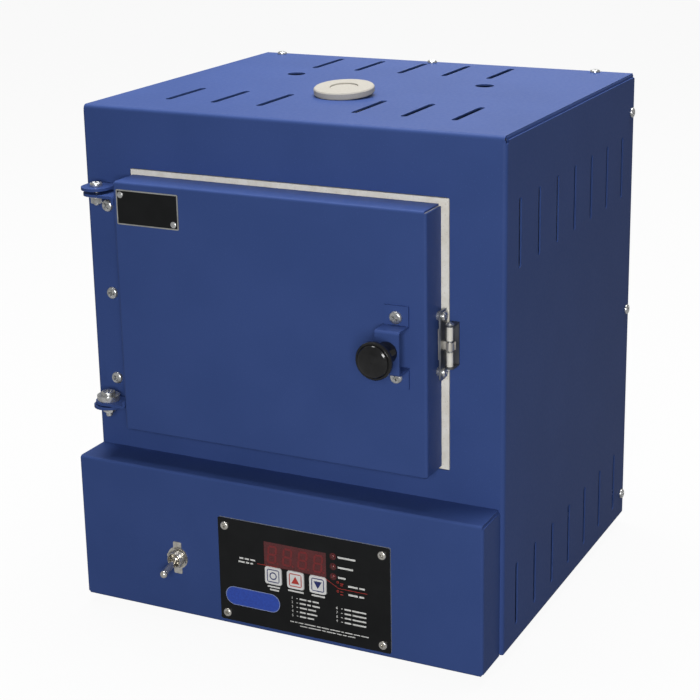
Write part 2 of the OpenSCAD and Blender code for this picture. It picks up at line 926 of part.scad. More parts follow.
module knob() {
    r = knob_d / 2;
    neck_r = 6;
    base_r = 7.6;
    skirt_z = 14;
    rim_z = knob_len - knob_face - 2.4;
    // Waist of the stem, then the underside of the head, as smooth curves
    waist = [for (a = [0:15:90]) [neck_r + (base_r - neck_r) * (1 - sin(a)), 1.5 + 7 * sin(a)]];
    under = [for (a = [0:15:90]) [neck_r + (r - neck_r - 0.6) * (1 - cos(a)), skirt_z + 3.6 * sin(a)]];
    face = [for (a = [90:-15:0]) [(r - 2.2) * sin(a), knob_len - knob_face * (1 - cos(a))]];
    color("#141414") from_case() translate([handle_x, door_y - handle_reach, knob_z]) facing_front()
        difference() {
            rotate_extrude() polygon(concat(
                [[0, 0], [base_r, 0]], waist, under,
                [[r, rim_z - 1.2], [r, rim_z + 0.6], [r - 0.6, rim_z + 1.3], [r - 1.5, rim_z + 1.3],
                 [r - 1.8, rim_z + 0.9], [r - 2.2, rim_z + 1.2]],
                face));
            translate([0, 0, -cut]) cylinder(d = bolt_d + 0.1, h = rim_z / 2 + 2 + cut);
        }
}

// Catch: a spring clip on the door that snaps over a pin with two rollers on the case

module catch_screws_at() {
    for (side = [-1, 1]) translate([catch_x, catch_y, catch_z + side * catch_pitch / 2])
        facing_right() children();
}

module catch_plate() {
    w = 11.2;
    slot_y = pin_y + clip_arm_y - clip_t / 2;
    slot_d = 3.2;
    x = catch_x + spacer_t;
    color("#8f9296") from_case() difference() {
        translate([x, catch_y - w / 2, catch_z - catch_h / 2]) along_x(sheet_t) round_rect(w, catch_h, 1.5);
        catch_screws_at() cylinder(d = 3 + fit, h = 12);
        translate([x - cut, slot_y - slot_d / 2, catch_z - clip_h / 2 - 0.8])
            cube([4, slot_d, clip_h + 1.6]);
    }
}

module catch_spacers() {
    color("#a9a9a4") from_case() catch_screws_at() washer(6.5, 3 + fit, spacer_t);
}

module catch_screws() {
    color("#b9b6ad") from_case() catch_screws_at()
        translate([0, 0, spacer_t + sheet_t]) pan_screw(3, 7, 2, 9);
}

// Plan of the clip: an arm through the plate, a loop round the front of the pin, an open lip
module clip_plan() {
    inner = pin_d / 2 + 0.25;
    outer = inner + clip_t;
    lip = 0.6;
    difference() {
        union() {
            circle(outer);
            translate([-outer, 0]) square([outer, clip_arm_y]);
            square([outer, clip_tail_y]);
        }
        circle(inner);
        translate([-inner, 0]) square([2 * inner, clip_tail_y + cut]);
    }
    translate([-clip_reach, clip_arm_y - clip_t]) square([clip_reach - inner, clip_t]);
    translate([inner, clip_tail_y - clip_t]) square([clip_t + lip, clip_t]);
}

module catch_spring() {
    foot = 11;
    color("#a7a8a6") from_case() {
        translate([pin_x, pin_y, catch_z - clip_h / 2]) linear_extrude(clip_h) clip_plan();
        translate([pin_x - clip_reach, pin_y + clip_arm_y - clip_t, catch_z - foot])
            cube([clip_t, 2.6 + clip_t, 2 * foot]);
    }
}

module pin_bracket() {
    base_x = 291.6;
    base_w = 5.3;
    half = roller_gap / 2 + roller_h + 0.3;
    t = sheet_t;
    color("#55585c") from_case() difference() {
        union() {
            translate([base_x, -t, catch_z - half - t]) cube([base_w, t, 2 * half + 2 * t]);
            for (z = [catch_z + half, catch_z - half - t]) {
                translate([pin_x, pin_y, z]) cylinder(r = 3.4, h = t);
                translate([base_x, pin_y, z]) cube([pin_x + 3.4 - base_x, -pin_y, t]);
            }
        }
        translate([pin_x, pin_y, catch_z - 2 * half]) cylinder(d = pin_d + 0.02, h = 4 * half);
    }
}

module roller_pin() {
    half = roller_gap / 2 + roller_h + 0.3 + sheet_t;
    color("#8a8872") from_case() translate([pin_x, pin_y, catch_z]) {
        translate([0, 0, -half - 0.6]) cylinder(d = pin_d, h = 2 * half + 0.6);
        translate([0, 0, half]) rotate_extrude() intersection() {
            translate([0, -2.4]) circle(4);
            square([3, 1.6]);
        }
    }
}

module roller(low) {
    color("#f0efe9") from_case() translate([pin_x, pin_y, low]) difference() {
        cylinder(d = roller_d, h = roller_h);
        translate([0, 0, -cut]) cylinder(d = pin_d + 0.12, h = roller_h + 2 * cut);
    }
}

module roller_upper() {
    roller(catch_z + roller_gap / 2 + 0.15);
}

module roller_lower() {
    roller(catch_z - roller_gap / 2 - roller_h - 0.15);
}

// Controls

module panel_screws_at() {
    cx = panel_x + panel_w / 2;
    cz = panel_z + panel_h / 2;
    for (x = [-1, 1], z = [-1, 1]) {
        translate([cx + x * panel_screw_w / 2, -box_d, cz + z * panel_screw_h / 2])
            facing_front() children();
    }
}

module keys_at() {
    for (i = [0:2]) translate([key_x + i * key_pitch, panel_y, key_z]) children();
}

module leds_at(y) {
    for (i = [0:2]) translate([led_x, y, led_z + i * led_pitch]) facing_front() children();
}

module control_plate() {
    color("#1b1c1f") from_case() difference() {
        translate([panel_x, panel_y, panel_z]) along_y(panel_t) round_rect(panel_w, panel_h, 1.5);
        translate([display_x - display_w / 2, panel_y - cut, display_z - display_h / 2])
            cube([display_w, panel_t + 2 * cut, display_h]);
        keys_at() translate([-key_w / 2 - key_gap, -cut, -key_h / 2 - key_gap])
            along_y(panel_t + 2 * cut) round_rect(key_w + 2 * key_gap, key_h + 2 * key_gap, 2.2);
        leds_at(0) cylinder(d = 3 + fit, h = 2 * box_d);
        panel_screws_at() cylinder(d = 3.5, h = 3 * panel_t, center = true);
    }
}

module control_plate_screws() {
    color("#b9b6ad") from_case() panel_screws_at() translate([0, 0, panel_t])
        pan_screw(3.3, 6.6, 1.9, 7.5);
}

module display_window() {
    color("#4a0d10") from_case()
        translate([display_x - display_w / 2, panel_y + 0.2, display_z - display_h / 2])
            cube([display_w, 1.5, display_h]);
}

module display_module() {
    depth = board_y - panel_y - 1.7;
    color("#202022") from_case()
        translate([display_x - display_w / 2, board_y - depth, display_z - display_h / 2])
        cube([display_w, depth, display_h]);
}

module circuit_board() {
    t = 1.6;
    part_h = 5;
    color("#1f5a35") from_case() difference() {
        union() {
            translate([board_x, board_y, 5]) cube([panel_w - 4, t, panel_h - 4]);
            // Processor, driver and connector on the back
            translate([150, board_y + t, 40]) cube([16, 2, 16]);
            translate([176, board_y + t, 20]) cube([10, 2, 22]);
            translate([205, board_y + t, 20]) cube([30, 2 * part_h, 9]);
            translate([215, board_y + t, 50]) facing_back() cylinder(d = 10, h = 2 * part_h);
        }
        panel_screws_at() translate([0, 0, -box_d]) cylinder(d = 3.5, h = 2 * box_d);
    }
}

module board_standoffs() {
    length = board_y + box_d - box_t;
    color("#c2b26e") from_case() panel_screws_at() translate([0, 0, -box_t]) facing_down() difference() {
        hexagon(6, length);
        translate([0, 0, -cut]) cylinder(d = 3.4, h = length + 2 * cut);
    }
}

module key_cap(index) {
    flange = 1.2;
    proud = 0.5;
    color("#ece9e2") from_case() translate([key_x + index * key_pitch, 0, key_z]) {
        translate([-key_w / 2, panel_y - proud, -key_h / 2])
            along_y(panel_t + proud + 0.1) round_rect(key_w, key_h, 2);
        translate([-key_w / 2 - 1, -box_d + 0.1, -key_h / 2]) cube([key_w + 2, flange, key_h]);
        translate([0, -box_d + 0.1 + flange, 0]) facing_back() cylinder(d = 4, h = 1);
    }
}

module key_start() {
    key_cap(0);
}

module key_up() {
    key_cap(1);
}

module key_down() {
    key_cap(2);
}

module key_switches() {
    cap_back = -box_d + 2.3;
    gap = key_travel + 0.1;
    stem = 1.2;
    color("#2b2b2d") from_case() for (i = [0:2]) translate([key_x + i * key_pitch, 0, key_z]) {
        translate([-3, cap_back + gap + stem, -3]) cube([6, board_y - cap_back - gap - stem, 6]);
        translate([0, cap_back + gap, 0]) facing_back() cylinder(d = 3.4, h = stem);
    }
}

module indicator_leds() {
    color("#8c1d1a") from_case() leds_at(board_y) {
        rise = board_y - panel_y - 1;
        cylinder(d = 3, h = rise);
        translate([0, 0, rise]) rotate_extrude() intersection() {
            circle(d = 3);
            square([1.5, 1.5]);
        }
        cylinder(d = 4, h = 1);
    }
}

// Toggle switch

module toggle_switch() {
    body_w = 17;
    body_h = 28;
    body_d = 21;
    inner = 0.6;
    color("#2a2a2c") from_case() translate([toggle_x, -box_d + box_t, toggle_z]) {
        difference() {
            union() {
                translate([-body_w / 2, 0, -body_h / 2]) cube([body_w, body_d, body_h]);
                facing_front() cylinder(d = 11.9, h = box_t + bushing_reach);
            }
            // Mouth for the lever
            translate([0, -box_t - bushing_reach - cut, 0]) facing_back()
                cylinder(d1 = 10.4, d2 = 6.4, h = bushing_reach + cut - inner);
            translate([0, -5, 0]) facing_back() cylinder(d = 6.4, h = 10);
        }
        for (z = [-8, 8]) translate([-3, body_d, z - 0.4]) cube([6, 9, 0.8]);
    }
}

module toggle_nut() {
    t = 2.2;
    color("#b9b6ad") from_case() translate([toggle_x, -box_d - 0.8, toggle_z]) facing_front() difference() {
        hexagon(14.2, t);
        translate([0, 0, -cut]) cylinder(d = 11.9, h = t + 2 * cut);
    }
}

module toggle_plate() {
    color("#b3b3b1") from_case() difference() {
        union() {
            translate([toggle_x, -box_d - 0.8, toggle_z]) facing_back() cylinder(d = 17, h = 0.8);
            translate([toggle_x - 3.5, -box_d - 0.8, toggle_z - 12.6]) along_y(0.8) round_rect(7, 25.2, 1);
        }
        translate([toggle_x, -box_d - 2, toggle_z]) facing_back() cylinder(d = 12.1, h = 4);
    }
}

module toggle_lever() {
    reach = 20.6;
    root_r = 1.7;
    tip_r = 3;
    color("#c4c4c2") from_case() translate([toggle_x, toggle_y, toggle_z]) rotate([90 + lever_lean, 0, 0]) {
        sphere(r = 2.9);
        cylinder(r1 = root_r, r2 = tip_r - 0.35, h = reach - tip_r);
        translate([0, 0, reach - tip_r]) sphere(r = tip_r);
    }
}

// Power parts in the foot of the case and the cord inlet

module relay() {
    color("#20242b") from_case() translate([58, 70, 2 * sheet_t]) {
        cube([46, 60, 8]);
        translate([3, 8, 8]) cube([40, 44, 24]);
        for (x = [8, 30], y = [1, 53]) translate([x, y, 8]) cube([8, 6, 5]);
    }
}

module terminal_block() {
    poles = 3;
    pole_w = 12;
    color("#d8d4c6") from_case() translate([228, 190, 2 * sheet_t]) difference() {
        cube([poles * pole_w, 22, 18]);
        for (i = [0:poles - 1], y = [6, 16]) {
            translate([(i + 0.5) * pole_w, y, 8]) cylinder(d = 5, h = 20);
        }
        for (i = [0:poles - 1]) {
            translate([(i + 0.5) * pole_w, -cut, 5]) facing_back() cylinder(d = 4, h = 30);
        }
    }
}

module cord_gland() {
    color("#1c1c1e") from_case() translate([gland_x, case_d, gland_z]) facing_back() difference() {
        union() {
            hexagon(19, 5);
            translate([0, 0, 5]) cylinder(d = 17, h = 3);
            translate([0, 0, 8]) hexagon(18, 8);
            translate([0, 0, 16]) cylinder(d1 = 17, d2 = 12, h = gland_len - 16);
            translate([0, 0, -11]) cylinder(d = 15, h = 12);
        }
        translate([0, 0, -20]) cylinder(d = gland_bore, h = 60);
    }
}

module gland_nut() {
    color("#1c1c1e") from_case() translate([gland_x, case_d - sheet_t - 4.5, gland_z]) facing_back()
        difference() {
            hexagon(20, 4.5);
            translate([0, 0, -cut]) cylinder(d = 15.02, h = 10);
        }
}

case_shell();
control_box();
back_panel();
back_panel_screws();
base_panel();
underside_screws();
feet();
front_board();
muffle();
muffle_roof();
muffle_tray();
heat_shield();
vent_sleeve();
vent_plug();
element_left();
element_right();
terminal_bushings();
element_terminals();
thermocouple();
thermocouple_block();
case_hinge_bracket();
hinge_bracket_screws();
hinge_bolts();
hinge_nuts();
hinge_washers();
door_pan();
door_lining();
door_hinge_bracket();
door_rivets();
nameplate();
handle_bracket();
handle_screws();
knob();
catch_plate();
catch_spacers();
catch_screws();
catch_spring();
pin_bracket();
roller_pin();
roller_upper();
roller_lower();
control_plate();
control_plate_screws();
display_window();
display_module();
circuit_board();
board_standoffs();
key_start();
key_up();
key_down();
key_switches();
indicator_leds();
toggle_switch();
toggle_nut();
toggle_plate();
toggle_lever();
relay();
terminal_block();
cord_gland();
gland_nut();
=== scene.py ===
"""Looks of a bench-top electric kiln: powder-coated case, fibre-lined door, spring catch, keypad."""

from math import cos, pi, radians, sin

import bmesh
import bpy
from mathutils import Matrix, Vector


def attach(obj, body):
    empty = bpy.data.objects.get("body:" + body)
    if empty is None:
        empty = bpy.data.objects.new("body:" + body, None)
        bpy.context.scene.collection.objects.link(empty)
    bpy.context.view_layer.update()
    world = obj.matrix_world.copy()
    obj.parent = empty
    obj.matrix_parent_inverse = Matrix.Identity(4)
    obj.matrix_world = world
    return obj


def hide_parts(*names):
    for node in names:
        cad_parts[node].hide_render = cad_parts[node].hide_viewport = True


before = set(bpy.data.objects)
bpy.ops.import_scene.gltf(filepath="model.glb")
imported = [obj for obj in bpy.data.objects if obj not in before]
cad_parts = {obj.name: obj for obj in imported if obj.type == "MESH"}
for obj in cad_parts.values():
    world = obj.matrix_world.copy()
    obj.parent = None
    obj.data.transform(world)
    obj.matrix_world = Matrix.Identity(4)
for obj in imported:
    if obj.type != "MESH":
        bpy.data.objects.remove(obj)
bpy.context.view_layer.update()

# Frames

MM = 0.001
CASE_W = 330.0
MIDDLE_Y = 115.55
FOOT_H = 8.0
DOOR_FACE_Y = -25.0
NAMEPLATE_FACE_Y = -25.5
PLATE_FACE_Y = -32.5

FACING_UP = Matrix.Identity(4)
FACING_FRONT = Matrix.Rotation(radians(90), 4, "X")
FACING_BACK = Matrix.Rotation(radians(-90), 4, "X")
FACING_RIGHT = Matrix.Rotation(radians(90), 4, "Y")
FACING_LEFT = Matrix.Rotation(radians(-90), 4, "Y")
FACING_DOWN = Matrix.Rotation(radians(180), 4, "X")


def at(x, y, z):
    """A point in mm from the case's left side, front plane and underside, in the part's frame."""
    return Vector(((x - CASE_W / 2) * MM, (y - MIDDLE_Y) * MM, (z + FOOT_H) * MM))


def place(point, facing, turn=0):
    """Where a model that stands on its origin goes, turned about its own axis by some degrees."""
    return Matrix.Translation(point) @ facing @ Matrix.Rotation(radians(turn), 4, "Z")


# Modelling tools


def deselect():
    """Leaves edit mode and selects nothing."""
    if bpy.context.object and bpy.context.object.mode != "OBJECT":
        bpy.ops.object.mode_set(mode="OBJECT")
    bpy.ops.object.select_all(action="DESELECT")


def make_active(obj):
    """Selects one object alone."""
    deselect()
    obj.select_set(True)
    bpy.context.view_layer.objects.active = obj


def settle(obj, name):
    """Names a new piece and writes its place into its mesh."""
    make_active(obj)
    bpy.ops.object.transform_apply(location=True, rotation=True, scale=True)
    obj.name = name
    obj.data.name = name
    return obj


def block(name, low, high):
    """A box between its lowest and highest corner, in metres."""
    deselect()
    bpy.ops.mesh.primitive_cube_add(size=1, location=(low + high) / 2)
    bpy.context.object.scale = high - low
    return settle(bpy.context.object, name)


def rod(name, radius, low, high, sides=32):
    """A cylinder on the Z axis, in mm."""
    deselect()
    bpy.ops.mesh.primitive_cylinder_add(
        vertices=sides,
        radius=radius * MM,
        depth=(high - low) * MM,
        location=(0, 0, (low + high) / 2 * MM),
    )
    return settle(bpy.context.object, name)


def choose(obj, kind, test):
    """Selects the verts, edges or faces that pass a test, in edit mode."""
    make_active(obj)
    bpy.ops.object.mode_set(mode="EDIT")
    kinds = ("verts", "edges", "faces")
    bpy.context.tool_settings.mesh_select_mode = tuple(k == kind for k in kinds)
    bpy.ops.mesh.select_all(action="DESELECT")
    mesh = bmesh.from_edit_mesh(obj.data)
    for item in getattr(mesh, kind):
        if test(item):
            item.select_set(True)
    mesh.select_flush_mode()
    bmesh.update_edit_mesh(obj.data)


def shut(obj):
    """Leaves edit mode."""
    bpy.ops.object.mode_set(mode="OBJECT")
    return obj


def modify(obj, kind, **settings):
    """Adds a modifier, sets it and applies it."""
    make_active(obj)
    modifier = obj.modifiers.new(kind.lower(), kind)
    for key, value in settings.items():
        setattr(modifier, key, value)
    bpy.ops.object.modifier_apply(modifier=modifier.name)
    return obj


def cut_out(obj, cutter):
    """Cuts one solid from another and throws the cutter away."""
    modify(obj, "BOOLEAN", operation="DIFFERENCE", object=cutter, solver="EXACT")
    bpy.data.objects.remove(cutter)
    return obj


def smooth(obj, angle=35):
    """Shades the piece smooth, apart from edges sharper than the angle."""
    make_active(obj)
    bpy.ops.object.shade_smooth_by_angle(angle=radians(angle))
    return obj


def join(name, pieces):
    """Makes one named piece of several."""
    deselect()
    for piece in pieces:
        piece.select_set(True)
    bpy.context.view_layer.objects.active = pieces[0]
    if len(pieces) > 1:
        bpy.ops.object.join()
    pieces[0].name = name
    pieces[0].data.name = name
    return pieces[0]


def copies(name, model, places):
    """Copies of a model, each with its own mesh, joined into one piece. The model goes."""
    twins = []
    for spot in places:
        twin = model.copy()
        twin.data = model.data.copy()
        bpy.context.collection.objects.link(twin)
        twin.data.transform(spot)
        twins.append(twin)
    bpy.data.objects.remove(model)
    return join(name, twins)


def dress(piece, body, material, slot, *nodes):
    """Gives a new piece its body and finish, and hides the nodes that it stands for; the record slot is
    not used.
    """
    piece.data.materials.clear()
    piece.data.materials.append(material)
    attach(piece, body)
    if nodes:
        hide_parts(*nodes)
    return piece


# Shader tools


class Wire:
    """A value in a node tree. Arithmetic on it adds Math nodes."""

    def __init__(self, nodes, socket):
        self.nodes = nodes
        self.socket = socket

    def math(self, operation, *others):
        """Adds a Math node on this value and others."""
        values = {i: v for i, v in enumerate((self,) + others)}
        return self.nodes.node("Math", {"operation": operation}, values)

    def __add__(self, other):
        return self.math("ADD", other)

    def __radd__(self, other):
        return self.math("ADD", other)

    def __sub__(self, other):
        return self.math("SUBTRACT", other)

    def __rsub__(self, other):
        return self.nodes.node("Math", {"operation": "SUBTRACT"}, {0: other, 1: self})

    def __mul__(self, other):
        return self.math("MULTIPLY", other)

    def __rmul__(self, other):
        return self.math("MULTIPLY", other)

    def below(self, edge):
        """1 where the value is below an edge, and 0 elsewhere."""
        return self.math("LESS_THAN", edge)

    def ramp(self, low, high, start=0.0, end=1.0):
        """Goes smoothly from start to end as the value goes from low to high."""
        settings = {"interpolation_type": "SMOOTHSTEP"}
        values = {"Value": self, "From Min": low, "From Max": high, "To Min": start, "To Max": end}
        return self.nodes.node("MapRange", settings, values)


class Nodes:
    """The nodes of a material or of the surroundings."""

    def __init__(self, owner):
        owner.use_nodes = True
        self.tree = owner.node_tree

    def node(self, kind, settings=None, values=None, output=0):
        """Adds a shader node, sets it, links its inputs and returns one of its outputs."""
        made = self.tree.nodes.new("ShaderNode" + kind)
        for key, value in (settings or {}).items():
            setattr(made, key, value)
        for key, value in (values or {}).items():
            if isinstance(value, Wire):
                self.tree.links.new(value.socket, made.inputs[key])
            else:
                made.inputs[key].default_value = value
        return Wire(self, made.outputs[output])

    def end_in(self, output, wire):
        """Links the last shader to the tree's output node."""
        self.tree.links.new(wire.socket, self.tree.nodes[output].inputs["Surface"])


class Finish(Nodes):
    """A material built round one Principled shader."""

    def __init__(self, name, metallic=0.0, **fixed):
        self.material = bpy.data.materials.new(name)
        super().__init__(self.material)
        self.shader = self.tree.nodes["Principled BSDF"]
        self.shader.inputs["Metallic"].default_value = metallic
        for key, value in fixed.items():
            self.shader.inputs[key.replace("_", " ")].default_value = value

    def spot(self):
        """Where a point is on the object."""
        return self.node("TexCoord", output="Object")

    def axis(self, letter):
        """One coordinate of a point on the object."""
        return self.node("SeparateXYZ", None, {0: self.spot()}, output=letter)

    def noise(self, size, detail=2.0, roughness=0.5, stretch=(1, 1, 1)):
        """Cloudy noise whose blotches are about size mm across."""
        place_in = self.node("Mapping", None, {"Vector": self.spot(), "Scale": stretch})
        values = {"Vector": place_in, "Scale": 1 / (size * MM), "Detail": detail, "Roughness": roughness}
        return self.node("TexNoise", None, values, output="Fac")

    def cells(self, size):
        """Distance from the middle of random cells about size mm across."""
        values = {"Vector": self.spot(), "Scale": 1 / (size * MM)}
        return self.node("TexVoronoi", None, values, output="Distance")

    def blend(self, factor, first, second):
        """Colour that goes from first to second with the factor."""
        values = {"Factor": factor, 6: first, 7: second}
        return self.node("Mix", {"data_type": "RGBA"}, values, output=2)

    def set(self, **inputs):
        """Sets or links inputs of the shader."""
        for key, value in inputs.items():
            socket = self.shader.inputs[key.replace("_", " ")]
            if isinstance(value, Wire):
                self.tree.links.new(value.socket, socket)
            else:
                socket.default_value = value
        return self

    def relief(self, height, depth, strength=1.0):
        """Bumps of a depth in mm."""
        values = {"Height": height, "Distance": depth * MM, "Strength": strength}
        return self.set(Normal=self.node("Bump", None, values))


def rgb(text):
    """A colour written as six hexadecimal digits."""
    parts = [int(text[i : i + 2], 16) / 255 for i in (0, 2, 4)]
    linear = [p / 12.92 if p <= 0.04045 else ((p + 0.055) / 1.055) ** 2.4 for p in parts]
    return (*linear, 1.0)


# Finishes


def powder_coat():
    """Semi-matt blue powder coat: faint orange peel, slow shade changes and fine dust."""
    f = Finish("blue_powder_coat", Specular_IOR_Level=0.1)
    shade = f.noise(60, detail=3).ramp(0.3, 0.7)
    body = f.blend(shade, rgb("374C83"), rgb("3A4F87"))
    speck = f.noise(0.9, detail=1).ramp(0.66, 0.74)
    f.set(Base_Color=f.blend(speck * 0.2, body, rgb("506AA6")))
    peel = f.noise(1.6, detail=1.5) + 0.4 * f.noise(5, detail=1)
    f.set(Roughness=f.noise(3, detail=4).ramp(0.3, 0.7, 0.5, 0.55))
    return f.relief(peel, 0.035, 0.7).material


def fibre_board(name="fibre_board", tone="ECE9E0", shadow="DCD7CA"):
    """Vacuum-formed ceramic fibre: soft mottling, short fibres, and small pitting whose darker tone is
    painted shade.
    """
    f = Finish(name, Specular_IOR_Level=0.2)
    mottle = f.noise(9, detail=5, roughness=0.65).ramp(0.3, 0.75)
    fibres = f.noise(2.2, detail=6, roughness=0.7, stretch=(1, 0.25, 1))
    pits_and_pit_shade = f.cells(2.6).ramp(0.05, 0.28, 1.0, 0.0)
    body = f.blend(mottle, rgb(tone), rgb(shadow))
    # The pit spots darken the base colour towards a dull beige: painted shade in the hollows.
    f.set(Base_Color=f.blend(pits_and_pit_shade * 0.35, body, rgb("B9B09B")), Roughness=0.92)
    return f.relief(fibres - 0.5 * pits_and_pit_shade, 0.35, 0.8).material


def cast_ceramic():
    """Hard cast ceramic of the plug: chalky, with grains and a little soot."""
    f = Finish("cast_ceramic", Specular_IOR_Level=0.25)
    grain = f.noise(0.8, detail=4, roughness=0.7)
    stain = f.noise(14, detail=4).ramp(0.55, 0.8)
    body = f.blend(grain.ramp(0.35, 0.65), rgb("AFABA3"), rgb("A5A198"))
    f.set(Base_Color=f.blend(stain * 0.4, body, rgb("98917F")), Roughness=0.85)
    return f.relief(grain, 0.12, 0.8).material


def zinc_plate():
    """Bright zinc on turned steel: fine machining lines and faint tarnish."""
    f = Finish("bright_zinc", metallic=0.86)
    tarnish = f.noise(3, detail=4).ramp(0.35, 0.75)
    f.set(Base_Color=f.blend(tarnish, rgb("D4D5D5"), rgb("A8A8A4")))
    f.set(Roughness=f.noise(1.2, detail=3).ramp(0.3, 0.7, 0.2, 0.34))
    return f.relief(f.noise(0.5, detail=2), 0.01, 0.5).material


def sheet_metal(name, light, dark, rough=0.34, metallic=1.0):
    """Bare rolled sheet with grain along its length."""
    f = Finish(name, metallic=metallic)
    grain = f.noise(0.6, detail=4, stretch=(1, 1, 0.06))
    cloud = f.noise(12, detail=3)
    f.set(Base_Color=f.blend(cloud.ramp(0.3, 0.7), rgb(light), rgb(dark)))
    f.set(Roughness=grain.ramp(0.3, 0.7, rough - 0.06, rough + 0.1))
    return f.relief(grain, 0.012, 0.6).material


def spangled_sheet():
    """Galvanised sheet with a flaky spangle."""
    f = Finish("galvanised_sheet", metallic=1.0)
    spangle = f.cells(7)
    f.set(Base_Color=f.blend(spangle.ramp(0.1, 0.7), rgb("BFC4C6"), rgb("9CA2A5")))
    f.set(Roughness=spangle.ramp(0.1, 0.8, 0.32, 0.5))
    return f.relief(f.noise(0.8, detail=2), 0.01, 0.5).material


def nickel():
    """Bright nickel with a thin uneven film."""
    f = Finish("nickel_plate", metallic=0.9)
    film = f.noise(2.5, detail=3)
    f.set(Base_Color=f.blend(film.ramp(0.3, 0.7), rgb("E4E1DA"), rgb("C8C4BB")))
    f.set(Roughness=film.ramp(0.3, 0.7, 0.14, 0.24))
    return f.relief(f.noise(0.6, detail=2), 0.006, 0.5).material


def oxidised_wire():
    """Resistance wire after firing: dark scale with pale blooms."""
    f = Finish("oxidised_wire", metallic=0.55)
    bloom = f.noise(1.4, detail=4).ramp(0.4, 0.7)
    f.set(Base_Color=f.blend(bloom, rgb("4B4642"), rgb("8A857C")))
    f.set(Roughness=bloom * 0.2 + 0.5)
    return f.relief(f.noise(0.4, detail=3), 0.03, 0.8).material


def plastic(name, tone, second, rough, grain=0.7, depth=0.02, coat=0.0):
    """Moulded plastic with a fine spark-eroded grain."""
    f = Finish(name, Coat_Weight=coat, Coat_Roughness=0.06)
    f.set(Base_Color=f.blend(f.noise(9, detail=3).ramp(0.3, 0.7), rgb(tone), rgb(second)))
    f.set(Roughness=f.noise(4, detail=4).ramp(0.3, 0.7, rough - 0.03, rough + 0.05))
    return f.relief(f.noise(grain, detail=2), depth, 0.6).material


def polished_knob():
    """Black phenolic, polished, with handling marks."""
    f = Finish("polished_phenolic", Specular_IOR_Level=0.35, Coat_Weight=0.25, Coat_Roughness=0.08)
    f.set(Base_Color=f.blend(f.noise(5, detail=3).ramp(0.35, 0.7), rgb("0C0C0D"), rgb("151516")))
    scuffs = f.noise(1.2, detail=6, stretch=(1, 1, 0.15)).ramp(0.55, 0.75)
    f.set(Roughness=scuffs * 0.16 + 0.1)
    return f.relief(f.noise(7, detail=1), 0.03, 0.4).material


def rubber():
    """Dull black rubber."""
    f = Finish("black_rubber", Specular_IOR_Level=0.3)
    f.set(Base_Color=f.blend(f.noise(4, detail=4).ramp(0.3, 0.7), rgb("19191B"), rgb("26262A")))
    return f.set(Roughness=0.8).relief(f.noise(0.7, detail=3), 0.05, 0.7).material


def printed_overlay(name, front, edge_tone):
    """Satin black film on an aluminium plate, whose bare edge shows behind the film."""
    f = Finish(name, Specular_IOR_Level=0.22)
    film = f.axis("Y").below(front.y + 0.25 * MM)
    edge = f.blend(f.noise(1, detail=2).ramp(0.3, 0.7), rgb(edge_tone), rgb("A7A7A2"))
    black = f.blend(f.noise(14, detail=3).ramp(0.3, 0.7), rgb("0E0F10"), rgb("131415"))
    f.set(Base_Color=f.blend(film, edge, black))
    f.set(Metallic=(1 - film) * 0.5, Roughness=f.noise(3, detail=4).ramp(0.3, 0.7, 0.3, 0.38))
    return f.relief(f.noise(0.35, detail=2), 0.01, 0.5).material


def tinted_window():
    """Dark red filter of the display, with a moulded grain behind a gloss face."""
    f = Finish("tinted_window", Coat_Weight=0.5, Coat_Roughness=0.08)
    f.set(Base_Color=f.blend(f.noise(6, detail=2).ramp(0.3, 0.7), rgb("4E0F13"), rgb("591317")))
    f.set(Roughness=f.noise(2, detail=3).ramp(0.3, 0.7, 0.25, 0.32))
    return f.relief(f.noise(0.6, detail=1), 0.004, 0.4).material


def paint(name, tone, second, rough=0.5):
    """Screen-printed ink with an uneven edge to its gloss."""
    f = Finish(name)
    f.set(Base_Color=f.blend(f.noise(1.5, detail=3).ramp(0.3, 0.7), rgb(tone), rgb(second)))
    f.set(Roughness=f.noise(0.8, detail=2).ramp(0.3, 0.7, rough - 0.05, rough + 0.08))
    return f.relief(f.noise(0.3, detail=1), 0.004, 0.4).material


COAT = powder_coat()
FIBRE = fibre_board()
CERAMIC = cast_ceramic()
ZINC = zinc_plate()
GALVANISED = spangled_sheet()
BARE_STEEL = sheet_metal("bare_steel", "B4B5B4", "8E9092")
# Pin bracket: a dark steel tone, made darker still as painted shade behind the rollers.
DARK_STEEL_AND_SHADE = sheet_metal("dark_steel_and_painted_shade", "5E6066", "4A4C52", 0.44, metallic=0.6)
SPRING = sheet_metal("spring_steel", "CFCBC2", "AAA69D", 0.34, metallic=0.7)
NICKEL = nickel()
WIRE = oxidised_wire()
BRASS = sheet_metal("drawn_brass", "C9A75C", "A98642", 0.3)
KNOB = polished_knob()
RUBBER = rubber()
OVERLAY = printed_overlay("printed_overlay", at(0, PLATE_FACE_Y, 0), "C9C9C4")
NAMEPLATE = printed_overlay("black_nameplate", at(0, NAMEPLATE_FACE_Y, 0), "B9BABA")
WINDOW = tinted_window()
WHITE_KEY = plastic("white_key", "E8E8E7", "DEDEDC", 0.45)
NYLON = plastic("white_nylon", "E9E7DF", "DDDACF", 0.4)
BLACK_PLASTIC = plastic("black_plastic", "131315", "1C1C1F", 0.5, depth=0.03)
CREAM_PLASTIC = plastic("cream_plastic", "D8D0B6", "CBC2A6", 0.5)
LENS = plastic("red_lens", "5A1013", "7A171B", 0.2, coat=0.5)
BOARD = plastic("circuit_board", "14502C", "1A5F35", 0.35, grain=1.5)
PORCELAIN = fibre_board("porcelain", "F0ECE2", "E5DFD1")
WHITE_INK = paint("white_ink", "E2E2E0", "D0D0CC")
RED_INK = paint("red_ink", "C03A30", "A83028")
BLUE_INK = paint("blue_ink", "202A6C", "1A235C")
BADGE_INK = paint("badge_blue", "2B48A6", "2E50B4", 0.35)
